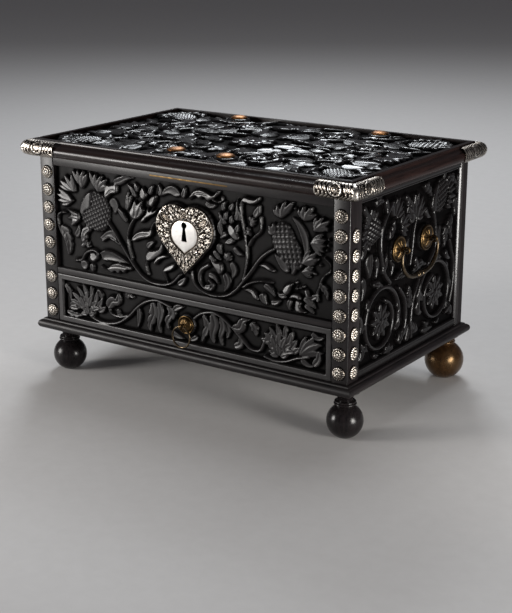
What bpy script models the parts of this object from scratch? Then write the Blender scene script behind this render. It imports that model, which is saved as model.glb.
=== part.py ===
"""Carved ebony chest with one long drawer, silver mounts and brass handles.

Metres, +Z up, the table at z = 0. X runs across the front, the front faces -Y,
and the origin lies on the table under the middle of the case.
"""
import math

import bmesh
import bpy
from mathutils import Matrix, Vector

# Clearances
SEAT_GAP = 0.0003
RUN_GAP = 0.0006

# Case, base and lid
CASE_WIDTH = 0.400
CASE_DEPTH = 0.251
CASE_HEIGHT = 0.189
BASE_THICKNESS = 0.012
BASE_OVERHANG = 0.008
BASE_MOULDING_WIDTH = 0.0095
BASE_NOSE_RADIUS = 0.0045
BASE_STEP = 0.002
LID_THICKNESS = 0.0182
LID_BOARD_INSET = 0.001
LID_FILLET_OVERHANG = 0.005
LID_OVERHANG = 0.0143
LID_NOSE_RADIUS = 0.006
LID_NOSE_RISE = 0.0072
LID_HOLLOW_RISE = 0.0034
LID_GROUND_DEPTH = 0.004
LID_RELIEF = 0.0033

# Posts, rails and panels
POST_FACE = 0.0185
FRONT_POST_DEPTH = 0.022
BACK_POST_DEPTH = 0.014
TOP_RAIL_HEIGHT = 0.0102
MID_RAIL_HEIGHT = 0.007
PANEL_THICKNESS = 0.010
TONGUE = 0.003
FRONT_RECESS = 0.006
FRONT_RELIEF = 0.0042
SIDE_RECESS = 0.004
SIDE_RELIEF = 0.0032
SIDE_BORDER = 0.008
BACK_RECESS = 0.002
FLOOR_THICKNESS = 0.006
INLAY_LENGTH = 0.100
INLAY_HEIGHT = 0.0016
INLAY_OFFSET = 0.005
INLAY_DEPTH = 0.0010
INLAY_PROUD = 0.0002

# Silver studs on the front posts
STUD_RADIUS = 0.0078
STUD_DOME = 0.0034
STUD_FIRST_RISE = 0.011
STUD_LAST_DROP = 0.018
STUDS_ON_FRONT = 9
STUDS_ON_SIDE = 8
STUD_INSET_FRONT = 0.010
STUD_INSET_SIDE = 0.011

# Carving, as shares: how deep a form is sunk in the ground, how a leaf narrows and bends,
# and a petal against the radius of its flower
CARVING_SINK = 0.2
LEAF_TAPER = 0.35
LEAF_TOP = 0.55
LEAF_CURL = 0.15
PETAL_REACH = 0.56
PETAL_LENGTH = 1.05
PETAL_WIDTH = 0.62

# Turned feet
FOOT_HEIGHT = 0.052
FOOT_BALL_RADIUS = 0.0191
BROWN_BALL_RADIUS = 0.0222
FOOT_FLAT_RADIUS = 0.006
FOOT_RING_RADIUS = 0.012
FOOT_RING_THICKNESS = 0.0045
FOOT_NECK_RADIUS = 0.0075
FOOT_FLANGE_RADIUS = 0.0156
FOOT_FLANGE_THICKNESS = 0.0025
FOOT_TENON_RADIUS = 0.0055
FOOT_TENON_LENGTH = 0.008
FOOT_INSET_SIDE = 0.014
FOOT_INSET_FRONT = 0.021
FOOT_INSET_BACK = 0.011

# Drawer
DRAWER_FRONT_HEIGHT = 0.055
DRAWER_FRONT_THICKNESS = 0.012
DRAWER_SIDE_THICKNESS = 0.007
DRAWER_SIDE_HEIGHT = 0.044
DRAWER_BOTTOM_THICKNESS = 0.004
DRAWER_BACK_CLEARANCE = 0.003
DRAWER_BORDER = 0.0065
DRAWER_RECESS = 0.005
DRAWER_RELIEF = 0.0038
GUIDE_HEIGHT = 0.014

# Heart escutcheon, keyhole and lock
HEART_LOBE_RADIUS = 0.025
HEART_LOBE_OFFSET = 0.0125
HEART_DROP = 0.0495
HEART_POINT_RISE = 0.0196
HEART_THICKNESS = 0.0024
HEART_PAD_INSET = 0.0010
HEART_FACE_SCALE = 0.48
HEART_FACE_RISE = 0.0460
HEART_FACE_DEPTH = 0.0010
KEYHOLE_HEAD_RADIUS = 0.0036
KEYHOLE_HEAD_RISE = 0.0532
KEYHOLE_DROP = 0.0175
KEYHOLE_WAIST = 0.0034
KEYHOLE_FLARE = 0.0072
LOCK_WIDTH = 0.064
LOCK_DEPTH = 0.022
LOCK_WALL = 0.002
LOCK_TOP_GAP = 0.0015
LOCK_BELOW_KEYHOLE = 0.012
BOLT_LENGTH = 0.0225
BOLT_THICKNESS = 0.005
BOLT_HEIGHT = 0.008
BOLT_BELOW_TOP = 0.007
BOLT_SETBACK = 0.0065
STAPLE_WIDTH = 0.005
STAPLE_BAR = 0.0026
STAPLE_CLEARANCE = 0.0013
STAPLE_SLOT_MARGIN = 0.0022
STAPLE_PLATE_LENGTH = 0.088
STAPLE_PLATE_DEPTH = 0.024

# Hinges and the rivet heads on the lid
HINGE_X = 0.0965
HINGE_WIDTH = 0.036
HINGE_BARREL_RADIUS = 0.0032
HINGE_BORE_RADIUS = 0.0014
HINGE_PIN_RADIUS = 0.0011
HINGE_PIN_HEAD = 0.0022
HINGE_LEAF_THICKNESS = 0.0013
HINGE_LEAF_HEIGHT = 0.040
HINGE_WEB_FRONT = 0.0022
HINGE_WEB_BACK = 0.0016
STRAP_LENGTH = 0.060
STRAP_WIDTH = 0.022
STRAP_THICKNESS = 0.0015
STRAP_RECESS = 0.0021
BOSS_RADIUS = 0.010
BOSS_DOME = 0.003
BOSS_EDGE = 0.0006
BOSS_PAD_RADIUS = 0.013
BOSS_PAD_RELIEF = 0.004
SHANK_RADIUS = 0.0015
FRONT_BOSS_X = 0.032
FRONT_BOSS_SETBACK = 0.030
BACK_BOSS_SETBACK = 0.0145

# Silver corner mounts on the lid
MOUNT_THICKNESS = 0.0009
MOUNT_LIFT = 0.0014
MOUNT_LOW_ANGLE = -80.0
MOUNT_HIGH_ANGLE = 114.0
MOUNT_LEG_FRONT = 0.047
MOUNT_LEG_SIDE = 0.052

# Drawer pull and side handles
PULL_RADIUS = 0.0107
PULL_STANDOFF = 0.0085
PULL_EYE_RADIUS = 0.0034
PULL_HOLE_RADIUS = 0.0016
PULL_RISE = 0.0267
RING_RADIUS = 0.0115
RING_WIRE = 0.0011
HANDLE_ROSETTE_RADIUS = 0.014
HANDLE_SPACING = 0.060
HANDLE_OFFSET = 0.003
HANDLE_RISE = 0.119
HANDLE_STANDOFF = 0.0092
HANDLE_EYE_RADIUS = 0.0042
HANDLE_HOLE_RADIUS = 0.0019
ROSETTE_RIM = 0.0013
ROSETTE_DOME = 0.0040
EYE_STALK_SHARE = 0.72
BAIL_END_RADIUS = 0.0015
BAIL_BEND_RADIUS = 0.0020
BAIL_GRIP_RADIUS = 0.0025
BAIL_BEAD_RADIUS = 0.0033
BAIL_TIP = 0.0065
BAIL_BELLY = 0.0043
BAIL_SHOULDER_DROP = 0.0095
BAIL_BEND_IN = 0.0045
BAIL_BEND_DROP = 0.0214
BAIL_GRIP_INSET = 0.0084
BAIL_GRIP_RISE = 0.0019
BAIL_BEAD_HALF = 0.0066
BAIL_DROP = 0.0315

# Levels and faces that follow from the sizes above
base_top = FOOT_HEIGHT + BASE_THICKNESS
case_bottom = base_top + SEAT_GAP
case_top = base_top + CASE_HEIGHT
lid_bottom = case_top + SEAT_GAP
lid_top = lid_bottom + LID_THICKNESS
lid_ground = lid_top - LID_GROUND_DEPTH
half_x = CASE_WIDTH / 2
half_y = CASE_DEPTH / 2
post_x = half_x - POST_FACE
front_post_y = -half_y + FRONT_POST_DEPTH
back_post_y = half_y - BACK_POST_DEPTH
panel_front_y = -half_y + FRONT_RECESS
panel_back_y = panel_front_y + PANEL_THICKNESS
side_outer_x = half_x - SIDE_RECESS
side_inner_x = side_outer_x - PANEL_THICKNESS
back_outer_y = half_y - BACK_RECESS
back_inner_y = back_outer_y - PANEL_THICKNESS
drawer_bottom_z = base_top + RUN_GAP
drawer_top_z = drawer_bottom_z + DRAWER_FRONT_HEIGHT
mid_rail_bottom = drawer_top_z + RUN_GAP
mid_rail_top = mid_rail_bottom + MID_RAIL_HEIGHT
top_rail_bottom = case_top - TOP_RAIL_HEIGHT
lid_board_x = half_x - LID_BOARD_INSET
lid_board_y = half_y - LID_BOARD_INSET
base_board_x = half_x + BASE_OVERHANG - BASE_MOULDING_WIDTH
base_board_y = half_y + BASE_OVERHANG - BASE_MOULDING_WIDTH
front_boss_y = -half_y + FRONT_BOSS_SETBACK
back_boss_y = half_y - BACK_BOSS_SETBACK
heart_point_z = mid_rail_top + HEART_POINT_RISE
hinge_y = back_outer_y + SEAT_GAP + HINGE_BARREL_RADIUS
hinge_z = case_top - HINGE_BARREL_RADIUS
stud_pitch = (CASE_HEIGHT - STUD_FIRST_RISE - STUD_LAST_DROP) / (STUDS_ON_FRONT - 1)
handle_z = base_top + HANDLE_RISE
handle_x = half_x + HANDLE_STANDOFF
pull_y = -half_y - PULL_STANDOFF
pull_z = drawer_bottom_z + PULL_RISE


# Scene and finishes
def new_collection(name):
    group = bpy.data.collections.new(name)
    bpy.context.scene.collection.children.link(group)
    return group


for old in list(bpy.data.objects):
    bpy.data.objects.remove(old, do_unlink=True)
parts = new_collection("ebony_chest")
cutters = new_collection("cutters")


def finish(name, colour, roughness, metallic):
    surface = bpy.data.materials.new(name)
    surface.use_nodes = True
    shader = surface.node_tree.nodes["Principled BSDF"]
    shader.inputs["Base Color"].default_value = (*colour, 1.0)
    shader.inputs["Roughness"].default_value = roughness
    shader.inputs["Metallic"].default_value = metallic
    return surface


EBONY = finish("carved_ebony", (0.012, 0.010, 0.011), 0.28, 0.0)
INNER_WOOD = finish("inner_wood", (0.060, 0.028, 0.014), 0.55, 0.0)
BROWN_FOOT = finish("worn_brown_wood", (0.140, 0.055, 0.018), 0.30, 0.0)
SILVER = finish("aged_silver", (0.780, 0.750, 0.690), 0.30, 1.0)
BRASS = finish("aged_brass", (0.420, 0.230, 0.090), 0.35, 1.0)
IRON = finish("dark_iron", (0.080, 0.075, 0.072), 0.50, 1.0)


def joint_empty(name, place):
    """A bare axis that the pieces of one moving group hang on."""
    axis = bpy.data.objects.new(name, None)
    axis.location = place
    parts.objects.link(axis)
    bpy.context.view_layer.update()
    return axis


lid_axis = joint_empty("lid_axis", (0.0, hinge_y, hinge_z))
drawer_axis = joint_empty("drawer_axis", (0.0, -half_y, drawer_bottom_z))
ring_axis = joint_empty("ring_axis", (0.0, pull_y, pull_z))
bolt_axis = joint_empty("bolt_axis", (0.0, panel_back_y, case_top))
left_bail_axis = joint_empty("left_bail_axis", (-handle_x, HANDLE_OFFSET, handle_z))
right_bail_axis = joint_empty("right_bail_axis", (handle_x, HANDLE_OFFSET, handle_z))


# Modelling tools
def mesh_from(bm, name):
    mesh = bpy.data.meshes.new(name)
    bm.to_mesh(mesh)
    bm.free()
    return mesh


def add(name, mesh, surface=None, axis=None):
    """Link a mesh as a piece of the chest, or as a hidden cutter where it has no surface."""
    piece = bpy.data.objects.new(name, mesh)
    if surface:
        parts.objects.link(piece)
        mesh.materials.append(surface)
    else:
        cutters.objects.link(piece)
        piece.hide_render = True
        piece.display_type = "WIRE"
    if axis:
        piece.parent = axis
        piece.matrix_parent_inverse = axis.matrix_world.inverted()
    return piece


def round_shading(mesh):
    mesh.shade_smooth()
    mesh.set_sharp_from_angle(angle=math.radians(40))


def board(name, low, high, surface=None, axis=None):
    """A sawn board between two corners."""
    low = Vector(low)
    high = Vector(high)
    bm = bmesh.new()
    bmesh.ops.create_cube(bm, size=1.0, matrix=Matrix.Diagonal((*(high - low), 1.0)))
    piece = add(name, mesh_from(bm, name), surface, axis)
    piece.location = (low + high) / 2
    return piece


def rod(name, radius, length, direction, place, surface=None, axis=None, sides=12):
    """A round rod or drill, centred on its place."""
    bm = bmesh.new()
    bmesh.ops.create_cone(bm, cap_ends=True, segments=sides, radius1=radius, radius2=radius, depth=length)
    mesh = mesh_from(bm, name)
    round_shading(mesh)
    piece = add(name, mesh, surface, axis)
    piece.location = place
    piece.rotation_euler = Vector(direction).to_track_quat("Z", "Y").to_euler()
    return piece


def turned(name, profile, place, direction, surface, axis=None, steps=20):
    """A lathe-turned piece from (radius, height) points that run down its outer side."""
    mesh = bpy.data.meshes.new(name)
    edges = [(i, i + 1) for i in range(len(profile) - 1)]
    mesh.from_pydata([(radius, 0.0, height) for radius, height in profile], edges, [])
    piece = add(name, mesh, surface, axis)
    lathe = piece.modifiers.new("lathe", "SCREW")
    lathe.steps = steps
    lathe.render_steps = steps
    lathe.use_merge_vertices = True
    lathe.merge_threshold = 0.00001
    lathe.use_smooth_shade = True
    piece.location = place
    piece.rotation_euler = Vector(direction).to_track_quat("Z", "Y").to_euler()
    return piece


def arc(centre, radius, start, end, steps):
    """Points on an arc, with the angles in degrees."""
    points = []
    for i in range(steps + 1):
        angle = math.radians(start + (end - start) * i / steps)
        points.append((centre[0] + radius * math.cos(angle), centre[1] + radius * math.sin(angle)))
    return points


joinery = []


def cut(piece, tool):
    joinery.append((piece, "DIFFERENCE", tool))


def fuse(piece, tool):
    joinery.append((piece, "UNION", tool))


def curve_mesh(curve, name):
    """The closed mesh of a curve, with its caps welded on."""
    source = bpy.data.objects.new(name, curve)
    bpy.context.scene.collection.objects.link(source)
    bpy.context.view_layer.update()
    evaluated = source.evaluated_get(bpy.context.evaluated_depsgraph_get())
    mesh = bpy.data.meshes.new_from_object(evaluated)
    bpy.data.objects.remove(source)
    bm = bmesh.new()
    bm.from_mesh(mesh)
    bmesh.ops.remove_doubles(bm, verts=bm.verts, dist=0.000001)
    bmesh.ops.recalc_face_normals(bm, faces=bm.faces)
    bm.to_mesh(mesh)
    bm.free()
    mesh.name = name
    return mesh


def flat_outline(name, points, thickness):
    """A flat sheet cut to an outline, lying in XY and centred on its thickness."""
    curve = bpy.data.curves.new(name, "CURVE")
    curve.dimensions = "2D"
    curve.fill_mode = "BOTH"
    curve.extrude = thickness / 2
    spline = curve.splines.new("POLY")
    spline.points.add(len(points) - 1)
    for point, (x, y) in zip(spline.points, points):
        point.co = (x, y, 0.0, 1.0)
    spline.use_cyclic_u = True
    return curve_mesh(curve, name)


def tube(name, points, radii, sides_resolution=0, resolution=2, straight_ends=False):
    """A round bar along a smooth path, with a radius at each point; its end runs can stay straight."""
    curve = bpy.data.curves.new(name, "CURVE")
    curve.dimensions = "3D"
    curve.bevel_depth = 1.0
    curve.bevel_resolution = sides_resolution
    curve.use_fill_caps = True
    curve.resolution_u = resolution
    curve.render_resolution_u = resolution
    spline = curve.splines.new("BEZIER")
    spline.bezier_points.add(len(points) - 1)
    for knot, place, radius in zip(spline.bezier_points, points, radii):
        knot.co = place
        knot.radius = radius
        knot.handle_left_type = "AUTO"
        knot.handle_right_type = "AUTO"
    if straight_ends:
        spline.bezier_points[0].handle_right_type = "VECTOR"
        spline.bezier_points[1].handle_left_type = "VECTOR"
        spline.bezier_points[-2].handle_right_type = "VECTOR"
        spline.bezier_points[-1].handle_left_type = "VECTOR"
    return curve_mesh(curve, name)


def sweep(name, section, stations, surface, axis=None):
    """A moulding: one closed section carried through stations that place its (out, up) points."""
    bm = bmesh.new()
    number = bm.verts.layers.int.new("number")
    ring = [bm.verts.new(stations[0](*point)) for point in section]
    for i, corner in enumerate(ring):
        corner[number] = i
    cap = bm.faces.new(ring)
    for number_made, station in enumerate(stations[1:]):
        grown = bmesh.ops.extrude_face_region(bm, geom=[cap])["geom"]
        if number_made:
            bmesh.ops.delete(bm, geom=[cap], context="FACES_ONLY")
        cap = next(item for item in grown if isinstance(item, bmesh.types.BMFace))
        for corner in cap.verts:
            corner.co = station(*section[corner[number]])
    bmesh.ops.recalc_face_normals(bm, faces=bm.faces)
    mesh = mesh_from(bm, name)
    round_shading(mesh)
    return add(name, mesh, surface, axis)


# Carving: relief drawn on a paper template that is stretched over a field of a panel
class Field:
    """One carved field: where it lies, how its template fits it, and what is carved on it."""

    def __init__(self, name, matrix, size, template, relief):
        self.matrix = matrix
        self.scale = (size[0] / template[0], size[1] / template[1])
        self.grow = min(self.scale)
        self.relief = relief
        self.carving = bpy.data.collections.new(name)
        cutters.children.link(self.carving)

    def place(self, mesh, shift, turn=0.0):
        piece = bpy.data.objects.new(mesh.name, mesh)
        piece.hide_render = True
        piece.display_type = "WIRE"
        piece.matrix_world = self.matrix @ Matrix.Translation(shift) @ Matrix.Rotation(turn, 4, "Z")
        self.carving.objects.link(piece)

    def at(self, u, v, rise=0.0):
        return Vector((u * self.scale[0], v * self.scale[1], rise))

    def leaf(self, u, v, angle, length, width, curl=LEAF_CURL, sides=5):
        """A pointed leaf with bevelled edges, its stalk end at -length/2 along its angle in degrees."""
        sink = self.relief * CARVING_SINK
        long_half = length * self.grow / 2
        wide_half = width * self.grow / 2
        bm = bmesh.new()
        bmesh.ops.create_cone(bm, cap_ends=True, segments=sides, radius1=1.0, radius2=LEAF_TOP, depth=1.0)
        for corner in bm.verts:
            across, along, height = corner.co
            across *= 1.0 - LEAF_TAPER * along
            bend = curl * long_half * (along * along - 0.5)
            rise = (height + 0.5) * (self.relief + sink)
            corner.co = (along * long_half, across * wide_half + bend, rise)
        self.place(mesh_from(bm, "leaf"), self.at(u, v, -sink), math.radians(angle))

    def pod(self, u, v, angle, length, width):
        """A swollen seed pod."""
        bm = bmesh.new()
        bmesh.ops.create_uvsphere(bm, u_segments=8, v_segments=6, radius=1.0)
        size = (length * self.grow / 2, width * self.grow / 2, self.relief, 1.0)
        bmesh.ops.transform(bm, matrix=Matrix.Diagonal(size), verts=bm.verts)
        self.place(mesh_from(bm, "pod"), self.at(u, v, -self.relief * CARVING_SINK), math.radians(angle))

    def flower(self, u, v, radius, petals, start=0.0, sweep_angle=360.0):
        """Petals in a ring or a fan, each a leaf that points away from the middle."""
        for i in range(petals):
            angle = start + sweep_angle * i / petals
            reach = radius * PETAL_REACH
            across = u + reach * math.cos(math.radians(angle)) * self.grow / self.scale[0]
            up = v + reach * math.sin(math.radians(angle)) * self.grow / self.scale[1]
            self.leaf(across, up, angle, radius * PETAL_LENGTH, radius * PETAL_WIDTH, 0.0, 4)

    def stem(self, points, start_radius, end_radius):
        """A round stem that tapers along its path."""
        last = len(points) - 1
        path = [self.at(u, v, -start_radius * self.grow * CARVING_SINK) for u, v in points]
        radii = []
        for i in range(len(points)):
            radii.append((start_radius + (end_radius - start_radius) * i / last) * self.grow)
        self.place(tube("stem", path, radii), (0.0, 0.0, 0.0))

    def pad(self, u, v, radius, rise):
        """A plain round pad that a rosette or rivet head sits on, with u and v in metres."""
        bm = bmesh.new()
        sink = self.relief
        bmesh.ops.create_cone(bm, cap_ends=True, segments=20, radius1=radius, radius2=radius,
                              depth=rise + sink)
        self.place(mesh_from(bm, "pad"), (u, v, (rise - sink) / 2))


def field_matrix(across, up, origin):
    """Axes of a field: across it, up it, and out of the wood."""
    across = Vector(across)
    up = Vector(up)
    out = across.cross(up)
    rows = [(across[i], up[i], out[i], origin[i]) for i in range(3)]
    return Matrix((*rows, (0.0, 0.0, 0.0, 1.0)))


# Base board with its mitred mouldings and the turned feet
base_board = board("base_board", (-base_board_x, -base_board_y, FOOT_HEIGHT),
                   (base_board_x, base_board_y, base_top), EBONY)


def mitre(half_width, half_depth, level, side_x, side_y, gap_x=0.0, gap_y=0.0):
    """A station on the mitre line of one corner, held back by a hair from its neighbour."""
    def station(out, up):
        return (side_x * (half_width + out - gap_x), side_y * (half_depth + out - gap_y), level + up)
    return station


def mitred_frame(name, section, half_width, half_depth, level, surface, axis=None):
    """Four mouldings that meet at mitred corners round a board."""
    hair = SEAT_GAP / 2
    seated = [(out + SEAT_GAP, up) for out, up in section]
    runs = {
        "front": [(-1, -1, hair, 0.0), (1, -1, hair, 0.0)],
        "right": [(1, -1, 0.0, hair), (1, 1, 0.0, hair)],
        "back": [(1, 1, hair, 0.0), (-1, 1, hair, 0.0)],
        "left": [(-1, 1, 0.0, hair), (-1, -1, 0.0, hair)],
    }
    pieces = {}
    for side, ends in runs.items():
        stations = [mitre(half_width, half_depth, level, *end) for end in ends]
        pieces[side] = sweep(name + "_" + side, seated, stations, surface, axis)
    return pieces


base_nose_out = BASE_MOULDING_WIDTH - SEAT_GAP - BASE_NOSE_RADIUS
base_nose_up = BASE_THICKNESS - BASE_NOSE_RADIUS - BASE_STEP
base_section = [(0.0, 0.0), (base_nose_out - BASE_STEP, 0.0)]
base_section += arc((base_nose_out, base_nose_up), BASE_NOSE_RADIUS, -80, 80, 6)
base_section += [(base_nose_out - BASE_STEP / 2, BASE_THICKNESS), (0.0, BASE_THICKNESS)]
mitred_frame("base_moulding", base_section, base_board_x, base_board_y, FOOT_HEIGHT, EBONY)

foot_x = half_x - FOOT_INSET_SIDE
foot_front_y = -half_y + FOOT_INSET_FRONT
foot_back_y = half_y - FOOT_INSET_BACK
flange_rise = FOOT_HEIGHT - SEAT_GAP - FOOT_FLANGE_THICKNESS


def foot_profile(ball_radius):
    """A foot off the lathe: tenon, flange, flared neck, ring and ball."""
    ball_low = -math.degrees(math.acos(FOOT_FLAT_RADIUS / ball_radius))
    ball_rise = ball_radius * math.sin(math.radians(-ball_low))
    ball_high = math.degrees(math.acos(FOOT_NECK_RADIUS / ball_radius))
    ring_rise = ball_rise + ball_radius * math.sin(math.radians(ball_high)) + FOOT_RING_THICKNESS / 2
    neck_rise = ring_rise + FOOT_RING_THICKNESS / 2
    ring_hub = FOOT_RING_RADIUS - FOOT_RING_THICKNESS / 2
    profile = [(0.0, flange_rise + FOOT_FLANGE_THICKNESS + FOOT_TENON_LENGTH)]
    profile += [(FOOT_TENON_RADIUS, flange_rise + FOOT_FLANGE_THICKNESS + FOOT_TENON_LENGTH)]
    profile += [(FOOT_TENON_RADIUS, flange_rise + FOOT_FLANGE_THICKNESS)]
    profile += [(FOOT_FLANGE_RADIUS, flange_rise + FOOT_FLANGE_THICKNESS)]
    profile += [(FOOT_FLANGE_RADIUS, flange_rise)]
    for i in range(1, 4):
        fall = i / 3
        flare = (1.0 - fall) ** 2
        profile.append((FOOT_NECK_RADIUS + (FOOT_FLANGE_RADIUS - FOOT_NECK_RADIUS) * flare,
                        flange_rise + (neck_rise - flange_rise) * fall))
    profile += arc((ring_hub, ring_rise), FOOT_RING_THICKNESS / 2, 70, -70, 2)
    profile += arc((0.0, ball_rise), ball_radius, ball_high, ball_low, 6)
    profile += [(0.0, 0.0)]
    return profile


for label, x, y, ball_radius, surface in (
        ("front_left", -foot_x, foot_front_y, FOOT_BALL_RADIUS, EBONY),
        ("front_right", foot_x, foot_front_y, FOOT_BALL_RADIUS, EBONY),
        ("back_left", -foot_x, foot_back_y, FOOT_BALL_RADIUS, EBONY),
        ("back_right", foot_x, foot_back_y, BROWN_BALL_RADIUS, BROWN_FOOT)):
    turned("foot_" + label, foot_profile(ball_radius), (x, y, 0.0), (0, 0, 1), surface, steps=12)
    socket_depth = FOOT_TENON_LENGTH + SEAT_GAP
    socket = rod("foot_socket_" + label, FOOT_TENON_RADIUS + SEAT_GAP, socket_depth * 2, (0, 0, 1),
                 (x, y, FOOT_HEIGHT))
    cut(base_board, socket)


# Posts, grooved for the panels; the front pair carries silver studs
def stud(post, place, direction):
    """One rosette-headed silver nail: a dome on the face of a post."""
    bm = bmesh.new()
    bmesh.ops.create_uvsphere(bm, u_segments=8, v_segments=4, radius=1.0)
    size = (STUD_RADIUS, STUD_RADIUS, STUD_DOME, 1.0)
    bmesh.ops.transform(bm, matrix=Matrix.Diagonal(size), verts=bm.verts)
    head = bpy.data.objects.new("stud", mesh_from(bm, "stud"))
    head.hide_render = True
    head.display_type = "WIRE"
    head.location = place
    head.rotation_euler = Vector(direction).to_track_quat("Z", "Y").to_euler()
    post.objects.link(head)


for label, side in (("left", -1), ("right", 1)):
    inner = side * post_x
    outer = side * half_x
    low_x, high_x = sorted((inner, outer))
    front = board("front_" + label + "_post", (low_x, -half_y, case_bottom),
                  (high_x, front_post_y, case_top), EBONY)
    back = board("back_" + label + "_post", (low_x, back_post_y, case_bottom),
                 (high_x, half_y, case_top), EBONY)
    groove_x = sorted((inner - side * TONGUE, inner + side * (TONGUE + SEAT_GAP)))
    front_groove = board("front_groove_" + label,
                         (groove_x[0], panel_front_y - SEAT_GAP, mid_rail_top),
                         (groove_x[1], panel_back_y + SEAT_GAP, top_rail_bottom))
    back_groove = board("back_groove_" + label,
                        (groove_x[0], back_inner_y - SEAT_GAP, case_bottom - TONGUE),
                        (groove_x[1], back_outer_y + SEAT_GAP, case_top + TONGUE))
    side_x = sorted((side * (side_inner_x - SEAT_GAP), side * (side_outer_x + SEAT_GAP)))
    side_groove = board("side_groove_" + label,
                        (side_x[0], front_post_y - TONGUE - SEAT_GAP, case_bottom - TONGUE),
                        (side_x[1], back_post_y + TONGUE + SEAT_GAP, case_top + TONGUE))
    cut(front, front_groove)
    cut(front, side_groove)
    cut(back, back_groove)
    cut(back, side_groove)
    studs = bpy.data.collections.new(label + "_studs")
    cutters.children.link(studs)
    for i in range(STUDS_ON_FRONT):
        stud_z = base_top + STUD_FIRST_RISE + stud_pitch * i
        stud(studs, (side * (half_x - STUD_INSET_FRONT), -half_y, stud_z), (0, -1, 0))
        if i < STUDS_ON_SIDE:
            stud(studs, (outer, -half_y + STUD_INSET_SIDE, stud_z), (side, 0, 0))
    fuse(front, studs)

# Front rails; the top one is inlaid with a thin golden strip
rail_x = post_x - SEAT_GAP
top_rail = board("front_top_rail", (-rail_x, -half_y, top_rail_bottom + SEAT_GAP),
                 (rail_x, panel_back_y, case_top), EBONY)
board("front_mid_rail", (-rail_x, -half_y, mid_rail_bottom), (rail_x, panel_back_y, mid_rail_top), EBONY)
inlay_z = (top_rail_bottom + case_top) / 2
inlay_low = INLAY_OFFSET - INLAY_LENGTH / 2
inlay_high = INLAY_OFFSET + INLAY_LENGTH / 2
inlay_groove = board("inlay_groove",
                     (inlay_low - SEAT_GAP, -half_y - INLAY_DEPTH, inlay_z - INLAY_HEIGHT / 2 - SEAT_GAP),
                     (inlay_high + SEAT_GAP, -half_y + INLAY_DEPTH, inlay_z + INLAY_HEIGHT / 2 + SEAT_GAP))
cut(top_rail, inlay_groove)
board("rail_inlay", (inlay_low, -half_y - INLAY_PROUD, inlay_z - INLAY_HEIGHT / 2),
      (inlay_high, -half_y + INLAY_DEPTH - SEAT_GAP, inlay_z + INLAY_HEIGHT / 2), BRASS)


# Heart-shaped outline, used for the escutcheon, its bright face and the pad under it
def heart(lobe_radius, lobe_offset, drop, steps=8):
    """Two round lobes and straight flanks that meet in a point, the point at (0, 0)."""
    reach = math.hypot(lobe_offset, drop)
    lean = math.atan2(lobe_offset, drop) + math.asin(lobe_radius / reach)
    notch = 180.0 - math.degrees(math.acos(lobe_offset / lobe_radius))
    right = arc((lobe_offset, drop), lobe_radius, -math.degrees(lean), notch, steps)
    left = [(-x, y) for x, y in reversed(right[:-1])]
    return [(0.0, 0.0)] + right + left


def stand_up(piece, y, z):
    """Stand a flat outline upright in the plane of the front."""
    piece.rotation_euler = (math.pi / 2, 0.0, 0.0)
    piece.location = (0.0, y, z)


# Front panel, carved round the heart
front_size = (2 * post_x, top_rail_bottom - mid_rail_top)
front_field = Field("front_carving", field_matrix((1, 0, 0), (0, 0, 1), (0.0, panel_front_y, mid_rail_top)),
                    front_size, (363.0, 116.0), FRONT_RELIEF)
front_field.stem([(-106, 61), (-94, 47), (-84, 32), (-74, 18), (-60, 7), (-42, 4), (-24, 7), (-10, 16)],
                 1.7, 2.0)
front_field.stem([(-76, 22), (-79, 42), (-76, 62), (-70, 76)], 1.6, 1.5)
front_field.stem([(7, 24), (11, 10), (25, 4), (42, 4), (57, 9), (69, 21), (81, 40), (95, 54), (107, 62)],
                 1.6, 1.8)
front_field.stem([(71, 24), (74, 46), (75, 64), (71, 86), (74, 102), (88, 108)], 1.6, 1.4)
front_field.stem([(72, 19), (86, 25), (108, 27)], 1.5, 1.2)
spiral = []
for i in range(7):
    spiral_angle = math.radians(-20 + 73 * i)
    spiral_radius = 15.0 - 1.5 * i
    spiral_up = 19 + spiral_radius * math.sin(spiral_angle)
    spiral.append((25 + spiral_radius * math.cos(spiral_angle), spiral_up))
front_field.stem(spiral, 1.5, 1.8)
front_field.pod(-126, 71, 68, 46, 35)
front_field.pod(121, 73, 128, 44, 36)
front_field.flower(-126, 71, 38, 6, 75, 160)
front_field.flower(121, 73, 37, 6, -30, 150)
front_field.flower(-62, 86, 22, 4, 20, 160)
front_field.flower(55, 80, 17, 5)
front_field.flower(136, 18, 15, 4, 45)
front_field.flower(-137, 17, 15, 4, 45)
for leaf in (
        (-99, 93, 30, 20, 12), (-83, 106, 15, 24, 8), (-49, 77, 35, 26, 8), (-60, 53, 25, 28, 11),
        (-44, 37, 30, 27, 12), (-26, 22, 25, 16, 7), (-95, 12, 175, 42, 11), (-104, 27, 170, 28, 6),
        (-103, 41, 165, 24, 6), (-146, 45, 75, 22, 9), (-167, 35, -65, 36, 9), (22, 104, 12, 38, 13),
        (91, 80, 70, 26, 7), (92, 51, 30, 26, 12), (98, 37, 15, 28, 10), (39, 35, -60, 20, 10),
        (81, 11, -20, 24, 9), (106, 10, -15, 24, 8), (163, 34, 80, 36, 7), (56, 45, 80, 20, 8)):
    front_field.leaf(*leaf)
front_panel = board("front_panel", (-post_x - TONGUE, panel_front_y, mid_rail_top + SEAT_GAP),
                    (post_x + TONGUE, panel_back_y, top_rail_bottom - SEAT_GAP), EBONY)
fuse(front_panel, front_field.carving)
heart_back_y = -half_y + HEART_PAD_INSET
heart_pad_low = panel_front_y + FRONT_RECESS / 2
heart_outline = heart(HEART_LOBE_RADIUS, HEART_LOBE_OFFSET, HEART_DROP)
heart_pad = add("heart_pad", flat_outline("heart_pad", heart_outline, heart_pad_low - heart_back_y))
stand_up(heart_pad, (heart_pad_low + heart_back_y) / 2, heart_point_z)
fuse(front_panel, heart_pad)

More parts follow.
